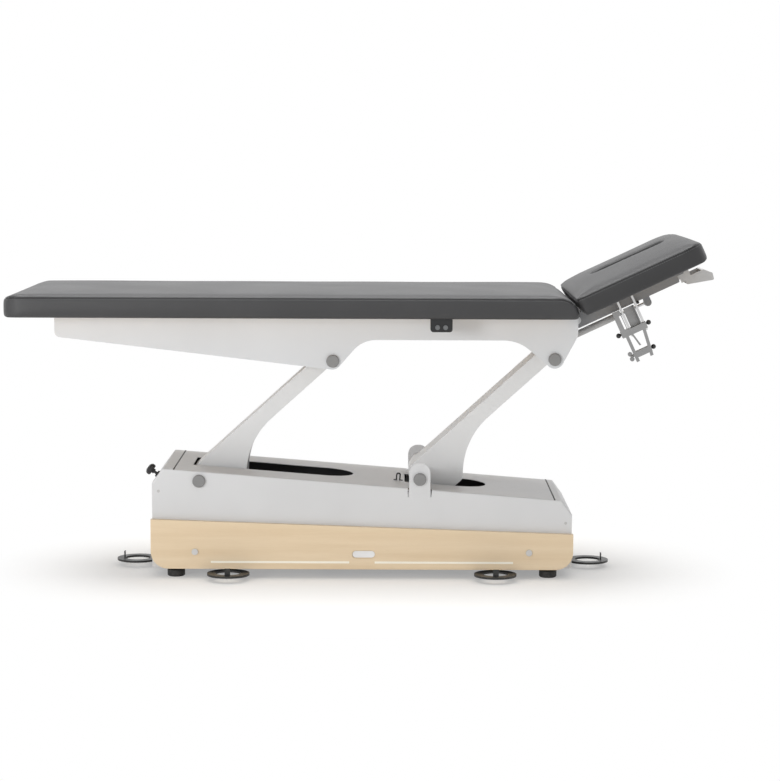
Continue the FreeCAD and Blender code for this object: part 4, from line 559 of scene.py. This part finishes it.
def choose_faces(piece, test):
    """Selects, in edit mode, only the faces whose middle and normal pass a test."""
    bpy.ops.mesh.select_mode(type="FACE")
    bpy.ops.mesh.select_all(action="DESELECT")
    form = bmesh.from_edit_mesh(piece.data)
    for face in form.faces:
        face.select_set(test(face.calc_center_median(), face.normal))
    bmesh.update_edit_mesh(piece.data)


def make_active(piece):
    """Selects one piece alone."""
    bpy.ops.object.select_all(action="DESELECT")
    piece.select_set(True)
    bpy.context.view_layer.objects.active = piece


def recess_for_board(piece, x_range, y_range, under, depth):
    """Pushes the underside up inside the board's outline and keeps the recess's edges sharp."""
    make_active(piece)
    bpy.ops.object.mode_set(mode="EDIT")
    bpy.ops.mesh.normals_make_consistent(inside=False)
    choose_faces(piece, lambda middle, normal: (
        normal.z < -0.9 and x_range[0] < middle.x < x_range[1]
        and y_range[0] < middle.y < y_range[1]))
    bpy.ops.mesh.extrude_region_move(TRANSFORM_OT_translate={"value": (0, 0, depth)})
    bpy.ops.mesh.select_mode(type="EDGE")
    bpy.ops.mesh.select_all(action="DESELECT")
    form = bmesh.from_edit_mesh(piece.data)
    for edge in form.edges:
        at_rim = all(
            min(abs(end.co.x - x) for x in x_range) < ON_PLANE
            or min(abs(end.co.y - y) for y in y_range) < ON_PLANE for end in edge.verts)
        low_down = all(end.co.z < under + depth + ON_PLANE for end in edge.verts)
        sharp = len(edge.link_faces) == 2 and edge.calc_face_angle() > SHARP_FOLD
        edge.select_set(at_rim and low_down and sharp)
    bmesh.update_edit_mesh(piece.data)
    bpy.ops.transform.edge_crease(value=1)
    bpy.ops.object.mode_set(mode="OBJECT")


def swell(piece, held, most, crown, rise, high):
    """Blows the cover up over its foam with a short cloth simulation, between the points that
    hold it. No point moves further than most; the foam's own crown is added on top, and reaches
    its full height at the distance rise from the ends."""
    group = piece.vertex_groups.new(name="held")
    group.add(held, 1.0, "REPLACE")
    start = [vertex.co.copy() for vertex in piece.data.vertices]
    cover = piece.modifiers.new("cover", "CLOTH")
    cover.settings.use_pressure = True
    cover.settings.uniform_pressure_force = AIR_FORCE
    cover.settings.effector_weights.gravity = 0
    cover.settings.vertex_group_mass = "held"
    cover.point_cache.frame_end = CLOTH_STEPS
    for moment in range(1, CLOTH_STEPS + 1):
        bpy.context.scene.frame_set(moment)
    blown = piece.evaluated_get(bpy.context.evaluated_depsgraph_get()).data
    moved = [vertex.co.copy() for vertex in blown.vertices]
    piece.modifiers.remove(cover)
    bpy.context.scene.frame_set(1)
    for vertex, old, new in zip(piece.data.vertices, start, moved):
        run = (new - old).length
        if run > 0:
            vertex.co = old + (new - old) * (most * math.tanh(run / most) / run)
    low_x, high_x = min(spot.x for spot in start), max(spot.x for spot in start)
    low_y, high_y = min(spot.y for spot in start), max(spot.y for spot in start)
    for vertex, old in zip(piece.data.vertices, start):
        if old.z > high - TOP_SLACK:
            across = (old.y - low_y) / (high_y - low_y)
            inwards = min(1, min(old.x - low_x, high_x - old.x) / rise)
            share = math.sin(math.pi / 2 * inwards) * math.sin(math.pi * across) ** 0.7
            wave = FOAM_WAVE * math.sin(old.x * 16 + 2.2 * math.sin(old.y * 9))
            vertex.co.z += (crown + wave) * share


def chalk_seam(piece, low, high):
    """Marks, while the block is still square, the points just below the top edge, where the
    top panel meets the side band, as the group seam."""
    line = [vertex.index for vertex in piece.data.vertices
            if abs(vertex.co.z - high[2] + SEAM_DROP) < ON_PLANE
            and (min(abs(vertex.co.x - low[0]), abs(vertex.co.x - high[0])) < ON_PLANE
                 or min(abs(vertex.co.y - low[1]), abs(vertex.co.y - high[1])) < ON_PLANE)]
    piece.vertex_groups.new(name="seam").add(line, 1.0, "REPLACE")


def seam_points(piece):
    """The points of the group seam, which keeps them when points are added or taken out."""
    group = piece.vertex_groups["seam"].index
    return [vertex.index for vertex in piece.data.vertices
            if any(entry.group == group and entry.weight > 0.99 for entry in vertex.groups)]


def grained_leather(name, light, dark):
    """Soft grained artificial leather: fine pebbling, puckers along seams, faint rubbing, and
    painted shade that darkens the seam's line.
    """
    cover = finish(name)
    near = cover.node("Attribute", {"attribute_name": "seam_nearness"}, output=2)
    pebble = cover.node("TexVoronoi", {"feature": "DISTANCE_TO_EDGE"},
                        {"Vector": cover.place(), "Scale": 620, "Randomness": 1})
    soft = cover.noise(26, 3)
    pucker = cover.noise(1, 2, cover.place(scale=(85.0, 85.0, 18.0)))
    rubbed = cover.noise(5, 4).between(0.4, 0.7)
    grain = cover.bump(pebble.between(0.0, 0.12), 0.00012, 0.55)
    relief = cover.node("Bump", inputs={
        "Height": pucker * near * 0.9 + soft * 0.35, "Distance": 0.0016, "Strength": 0.5,
        "Normal": grain})
    skin = cover.mix(rubbed, dark, light)
    # Painted shade: along the seam the cover darkens to near black, for the shade in the seam's
    # groove.
    skin = cover.mix(near * near, skin, darker(dark, 0.2))
    cover.shade(Base_Color=skin, Roughness=rubbed * -0.03 + 0.43, Normal=relief,
                Specular_IOR_Level=0.36)


grained_leather("main_cover_leather", LEATHER_LIGHT, LEATHER_DARK)

MAIN_CROWN = 0.0065
MAIN_RISE = 0.16
MAIN_STEP = 0.0145
MAIN_NOSES = (0.022, 0.056)
MAIN_CORNERS = (0.046, 0.022)
MAIN_SHOULDER = 0.004
MAIN_LOW = (-0.995, -0.3222, 0.7463)
MAIN_HIGH = (0.601, 0.3222, 0.8085)
MAIN_BOARD_X = (-0.959 - BOARD_GAP, 0.579 + BOARD_GAP)
MAIN_BOARD_Y = (-0.300 - BOARD_GAP, 0.300 + BOARD_GAP)
BOARD_RECESS = 0.015
side_lap = MAIN_BOARD_Y[0] - MAIN_LOW[1]
edge_rows = [0, 0.0035, 0.009, 0.0155, side_lap, 0.034]
foot_end_rows = [0, 0.005, 0.012, MAIN_BOARD_X[0] - MAIN_LOW[0], 0.032, 0.046]
nose_rows = [0, 0.007, 0.014, MAIN_HIGH[0] - MAIN_BOARD_X[1], 0.030, 0.039, 0.048, 0.060]
main_cushion = gridded_block(
    "main_cushion_cover",
    stations(MAIN_LOW[0], MAIN_HIGH[0], foot_end_rows, nose_rows, MAIN_STEP),
    stations(MAIN_LOW[1], MAIN_HIGH[1], edge_rows, edge_rows, MAIN_STEP),
    stations(MAIN_LOW[2], MAIN_HIGH[2], UNDER_ROWS, TOP_ROWS, HEIGHT_STEP))
chalk_seam(main_cushion, MAIN_LOW, MAIN_HIGH)
round_cushion(main_cushion, MAIN_LOW, MAIN_HIGH, MAIN_NOSES, MAIN_CORNERS, MAIN_SHOULDER,
              side_lap)
recess_for_board(main_cushion, MAIN_BOARD_X, MAIN_BOARD_Y, MAIN_LOW[2], BOARD_RECESS)


def underside(piece, low, board_x, board_y, recess):
    """The points of the cover that lie on the deck or against the board."""
    return [vertex.index for vertex in piece.data.vertices
            if vertex.co.z < low[2] + ON_PLANE
            or (vertex.co.z < low[2] + recess + ON_PLANE
                and board_x[0] - ON_PLANE < vertex.co.x < board_x[1] + ON_PLANE
                and board_y[0] - ON_PLANE < vertex.co.y < board_y[1] + ON_PLANE)]


def mark_seam(piece):
    """Draws the seam in, stores how near each point is to it, and keeps its fold crisp."""
    nearness = piece.data.attributes.new("seam_nearness", "FLOAT", "POINT")
    crease = piece.data.attributes["crease_edge"]
    seam = seam_points(piece)
    sewn = set(seam)
    piece.data.update()
    inwards = [piece.data.vertices[index].normal * -SEAM_PULL for index in seam]
    for index, step in zip(seam, inwards):
        piece.data.vertices[index].co += step
    reach = {index: 1.0 for index in sewn}
    for edge in piece.data.edges:
        first, last = edge.vertices
        if first in sewn and last in sewn:
            crease.data[edge.index].value = SEAM_CREASE
        elif first in sewn or last in sewn:
            other = last if first in sewn else first
            reach[other] = max(reach.get(other, 0), BESIDE_SEAM)
    for index, value in reach.items():
        nearness.data[index].value = value


def smooth_cover(piece, leather):
    """One level of subdivision, applied, and smooth shading except over the sharp folds."""
    make_active(piece)
    piece.modifiers.new("rounding", "SUBSURF").levels = 1
    piece.modifiers["rounding"].render_levels = 1
    bpy.ops.object.modifier_apply(modifier="rounding")
    bpy.ops.object.shade_smooth_by_angle(angle=math.radians(55))
    piece.data.materials.clear()
    piece.data.materials.append(bpy.data.materials[leather])


swell(main_cushion, sorted(set(seam_points(main_cushion)) | set(underside(
    main_cushion, MAIN_LOW, MAIN_BOARD_X, MAIN_BOARD_Y, BOARD_RECESS))),
    FOAM_SWELL, MAIN_CROWN, MAIN_RISE, MAIN_HIGH[2])
mark_seam(main_cushion)
smooth_cover(main_cushion, "main_cover_leather")
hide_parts("main_cushion")
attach(main_cushion, "deck")


# Seam stitching of the main cushion: a row of thread stitches each side of the seam, pulled
# a little into the cover all the way round.

STITCH_PITCH = 0.0065
STITCH_SET = 0.0034
STITCH_OUTWARDS = 0.002
STITCH_HALF_SIZE = (0.0026, 0.00055, 0.00042)


def twisted_thread(name):
    """Twisted polyester sewing thread, a shade lighter than the cover."""
    thread = finish(name)
    twist = thread.node("TexWave", {"wave_type": "BANDS", "bands_direction": "DIAGONAL"},
                        {"Vector": thread.place(), "Scale": 900, "Distortion": 1.5})
    thread.shade(Base_Color=thread.mix(twist, (0.085, 0.085, 0.088, 1), (0.13, 0.13, 0.132, 1)),
                 Roughness=twist * 0.2 + 0.5, Normal=thread.bump(twist, 0.0001, 0.6))


twisted_thread("cover_sewing_thread")


def one_stitch():
    """A single stitch along X, thick in its middle and thin where it dives into the cover."""
    bpy.ops.object.select_all(action="DESELECT")
    bpy.ops.mesh.primitive_uv_sphere_add(segments=6, ring_count=4, radius=1,
                                         rotation=(0, math.radians(90), 0))
    stitch = bpy.context.object
    bpy.ops.object.transform_apply(location=True, rotation=True, scale=True)
    stitch.data.transform(Matrix.Diagonal((*STITCH_HALF_SIZE, 1)))
    return stitch


def seam_walk(piece):
    """The seam's points in order round the cushion, with their outward directions."""
    sewn = set(seam_points(piece))
    beside = {index: [] for index in sewn}
    for edge in piece.data.edges:
        first, last = edge.vertices
        if first in sewn and last in sewn:
            beside[first].append(last)
            beside[last].append(first)
    order = [min(sewn)]
    passed = set(order)
    while True:
        onward = [index for index in beside[order[-1]] if index not in passed]
        if not onward:
            return [(piece.data.vertices[index].co.copy(),
                     piece.data.vertices[index].normal.copy()) for index in order]
        order.append(onward[0])
        passed.add(onward[0])


def sew_row(name, piece, aside):
    """A row of stitches beside the seam: aside is how far down the band it runs, or up onto
    the top panel where it is negative. Each one is set on the cover's nearest point."""
    walk = seam_walk(piece)
    template = one_stitch()
    corners = [vertex.co.copy() for vertex in template.data.vertices]
    faces = [tuple(face.vertices) for face in template.data.polygons]
    bpy.data.objects.remove(template)
    points, shells = [], []
    travelled, due = 0.0, 0.0
    for (spot, normal), (after, _) in zip(walk, walk[1:] + walk[:1]):
        run = (after - spot).length
        while due < travelled + run:
            at = spot.lerp(after, (due - travelled) / run)
            tangent = (after - spot).normalized()
            flat = Vector((normal.x, normal.y, 0)).normalized()
            goal = at + flat * STITCH_OUTWARDS + Vector((0, 0, -aside))
            _, centre, facing, _ = piece.closest_point_on_mesh(goal)
            cross = facing.cross(tangent).normalized()
            first = len(points)
            for corner in corners:
                points.append(centre + tangent * corner.x + cross * corner.y + facing * corner.z)
            shells += [tuple(first + index for index in face) for face in faces]
            due += STITCH_PITCH
        travelled += run
    mesh = bpy.data.meshes.new(name)
    mesh.from_pydata(points, [], shells)
    row = bpy.data.objects.new(name, mesh)
    bpy.context.scene.collection.objects.link(row)
    make_active(row)
    bpy.ops.object.mode_set(mode="EDIT")
    bpy.ops.mesh.select_all(action="SELECT")
    bpy.ops.mesh.normals_make_consistent(inside=False)
    bpy.ops.object.mode_set(mode="OBJECT")
    bpy.ops.object.shade_smooth()
    mesh.materials.append(bpy.data.materials["cover_sewing_thread"])
    return row


for row_name, aside in (("main_cushion_band_stitches", STITCH_SET),
                        ("main_cushion_top_stitches", -STITCH_SET)):
    row = sew_row(row_name, main_cushion, aside)
    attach(row, "deck")


# Switch box, black moulded plastic with two grey push buttons, screwed under the board's edge.

moulded_plastic("switch_black_plastic", (0.008, 0.008, 0.009, 1), 0.46)
dress("switch_black_plastic", "switch_box")
moulded_plastic("button_grey_plastic", (0.16, 0.165, 0.17, 1), 0.32)
dress("button_grey_plastic", "up_button", "down_button")


# Head frame. Welded rails of drawn steel in a mid grey coat, the gas spring that holds its
# tilt, and the folded release lever at its end.

powder_coat("head_frame_coat", (0.235, 0.24, 0.25, 1), roughness=0.36)
dress("head_frame_coat", "head_frame")
powder_coat("lever_coat", (0.60, 0.60, 0.60, 1), roughness=0.36)
dress("lever_coat", "release_lever")
powder_coat("gas_spring_grey", (0.44, 0.44, 0.44, 1), roughness=0.30)
dress("gas_spring_grey", "gas_spring_cylinder")
dress("polished_rod_steel", "gas_spring_rod")


# Hanging arm support. Bright flat bars on the near rail, and a carriage milled from dull
# aluminium that slides on them, held by black ball knobs and a wing screw.

lined_metal("hanger_bright_steel", (0.70, 0.70, 0.70, 1), 0.26, 2)
dress("hanger_bright_steel", "hanger_bars")
lined_metal("carriage_aluminium", (0.34, 0.34, 0.34, 1), 0.38, 0)
dress("carriage_aluminium", "support_carriage", "wing_screw")
moulded_plastic("ball_black_plastic", (0.020, 0.020, 0.021, 1), 0.25)
dress("ball_black_plastic", *(f"clamp_knob_{number}" for number in range(1, 5)))


# Head cushion. The same foam and leather as the main one, darkened by painted shade, shorter and
# tilted with the head section, with the long opening for the face sewn through it.

# Painted shade: the share of the main leather's colour that the head cover keeps.
HEAD_PAINTED_SHADE = 0.72
HEAD_HINGE = (0.604021, 0, 0.733547)
HEAD_TILT = math.radians(25)
HEAD_LOW = (0.023, -0.3222, 0.0138)
HEAD_HIGH = (0.396, 0.3222, 0.0715)
HEAD_RECESS = BOARD_RECESS + 0.005
HEAD_CROWN = 0.017
HEAD_RISE = 0.08
HEAD_STEP = 0.011
HEAD_NOSES = (0.006, 0.012)
HEAD_CORNERS = (0.016, 0.053)
HEAD_SHOULDER = 0.005
HEAD_LEAN = 0.0072
LEAN_REACH = 0.05
HEAD_BOARD_X = (0.045 - BOARD_GAP, 0.366 + BOARD_GAP)
FACE_MIDDLE = 0.213
FACE_STRAIGHT = 0.0725
FACE_ROUND = 0.0405
FACE_END = FACE_STRAIGHT + FACE_ROUND
FACE_RIM = 0.030
FACE_STEP = 0.010
rim_rows = [0, 0.006, 0.014]
hinge_rows = [0, 0.005, 0.012, HEAD_BOARD_X[0] - HEAD_LOW[0]]
lever_rows = [0, 0.005, 0.012, HEAD_HIGH[0] - HEAD_BOARD_X[1]]
head_rows = stations(HEAD_LOW[0], FACE_MIDDLE - FACE_END, hinge_rows, rim_rows, FACE_STEP)
head_rows += stations(FACE_MIDDLE - FACE_END, FACE_MIDDLE + FACE_END,
                      [0], [0], FACE_STEP)[1:-1]
head_rows += stations(FACE_MIDDLE + FACE_END, HEAD_HIGH[0], rim_rows, lever_rows, FACE_STEP)
head_columns = stations(HEAD_LOW[1], -FACE_ROUND, edge_rows, rim_rows, HEAD_STEP)
head_columns += stations(-FACE_ROUND, FACE_ROUND, [0], [0], FACE_STEP)[1:-1]
head_columns += stations(FACE_ROUND, HEAD_HIGH[1], rim_rows, edge_rows, HEAD_STEP)
head_cushion = gridded_block(
    "head_cushion_cover", head_rows, head_columns,
    stations(HEAD_LOW[2], HEAD_HIGH[2], UNDER_ROWS, TOP_ROWS, HEIGHT_STEP))
chalk_seam(head_cushion, HEAD_LOW, HEAD_HIGH)
round_cushion(head_cushion, HEAD_LOW, HEAD_HIGH, HEAD_NOSES, HEAD_CORNERS, HEAD_SHOULDER,
              side_lap)
recess_for_board(head_cushion, HEAD_BOARD_X, MAIN_BOARD_Y, HEAD_LOW[2], HEAD_RECESS)
for vertex in head_cushion.data.vertices:
    near_hinge = max(0, 1 - (vertex.co.x - HEAD_LOW[0]) / LEAN_REACH)
    up = (vertex.co.z - HEAD_LOW[2]) / (HEAD_HIGH[2] - HEAD_LOW[2])
    vertex.co.x -= HEAD_LEAN * near_hinge * up


def face_reach(spot):
    """How far a point lies from the middle line of the face opening: past its straight part,
    across, by the larger of both, and straight to it."""
    along = max(0, abs(spot.x - FACE_MIDDLE) - FACE_STRAIGHT)
    return along, abs(spot.y), max(along, abs(spot.y)), math.hypot(along, spot.y)


def open_for_face(piece):
    """Cuts the face opening through both faces, rounds its ends and its rim, and walls it."""
    make_active(piece)
    bpy.ops.object.mode_set(mode="EDIT")
    choose_faces(piece, lambda middle, normal: (
        abs(normal.z) > 0.9 and abs(middle.x - FACE_MIDDLE) < FACE_END
        and abs(middle.y) < FACE_ROUND))
    bpy.ops.mesh.delete(type="FACE")
    bpy.ops.mesh.select_mode(type="EDGE")
    bpy.ops.mesh.select_all(action="DESELECT")
    bpy.ops.mesh.select_non_manifold()
    bpy.ops.mesh.bridge_edge_loops(number_cuts=3)
    bpy.ops.mesh.select_all(action="SELECT")
    bpy.ops.mesh.normals_make_consistent(inside=False)
    bpy.ops.object.mode_set(mode="OBJECT")
    for vertex in piece.data.vertices:
        along, across, square, round_reach = face_reach(vertex.co)
        if along > 0 and square < FACE_ROUND + FACE_RIM:
            share = 1 - max(0, square - FACE_ROUND) / FACE_RIM
            pull = share * (1 - square / round_reach)
            way = 1 if vertex.co.x > FACE_MIDDLE else -1
            vertex.co.x -= way * along * pull
            vertex.co.y *= 1 - pull


open_for_face(head_cushion)
face_wall = [vertex.index for vertex in head_cushion.data.vertices
             if face_reach(vertex.co)[3] < FACE_ROUND + ON_PLANE and vertex.co.z > HEAD_LOW[2]]
swell(head_cushion, sorted(set(seam_points(head_cushion)) | set(face_wall) | set(underside(
    head_cushion, HEAD_LOW, HEAD_BOARD_X, MAIN_BOARD_Y, HEAD_RECESS))),
    FOAM_SWELL, HEAD_CROWN, HEAD_RISE, HEAD_HIGH[2])
mark_seam(head_cushion)
# Painted shade: the head cover is the main leather darkened, for the shade on the head end.
grained_leather("head_cover_leather_painted_shade", darker(LEATHER_LIGHT, HEAD_PAINTED_SHADE),
                darker(LEATHER_DARK, HEAD_PAINTED_SHADE))
smooth_cover(head_cushion, "head_cover_leather_painted_shade")
head_band_row = sew_row("head_cushion_band_stitches", head_cushion, STITCH_SET)
head_top_row = sew_row("head_cushion_top_stitches", head_cushion, -STITCH_SET)
tilted = Matrix.Translation(HEAD_HINGE) @ Matrix.Rotation(-HEAD_TILT, 4, "Y")
for piece in (head_cushion, head_band_row, head_top_row):
    piece.data.transform(tilted)
    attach(piece, "head")
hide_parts("head_cushion")
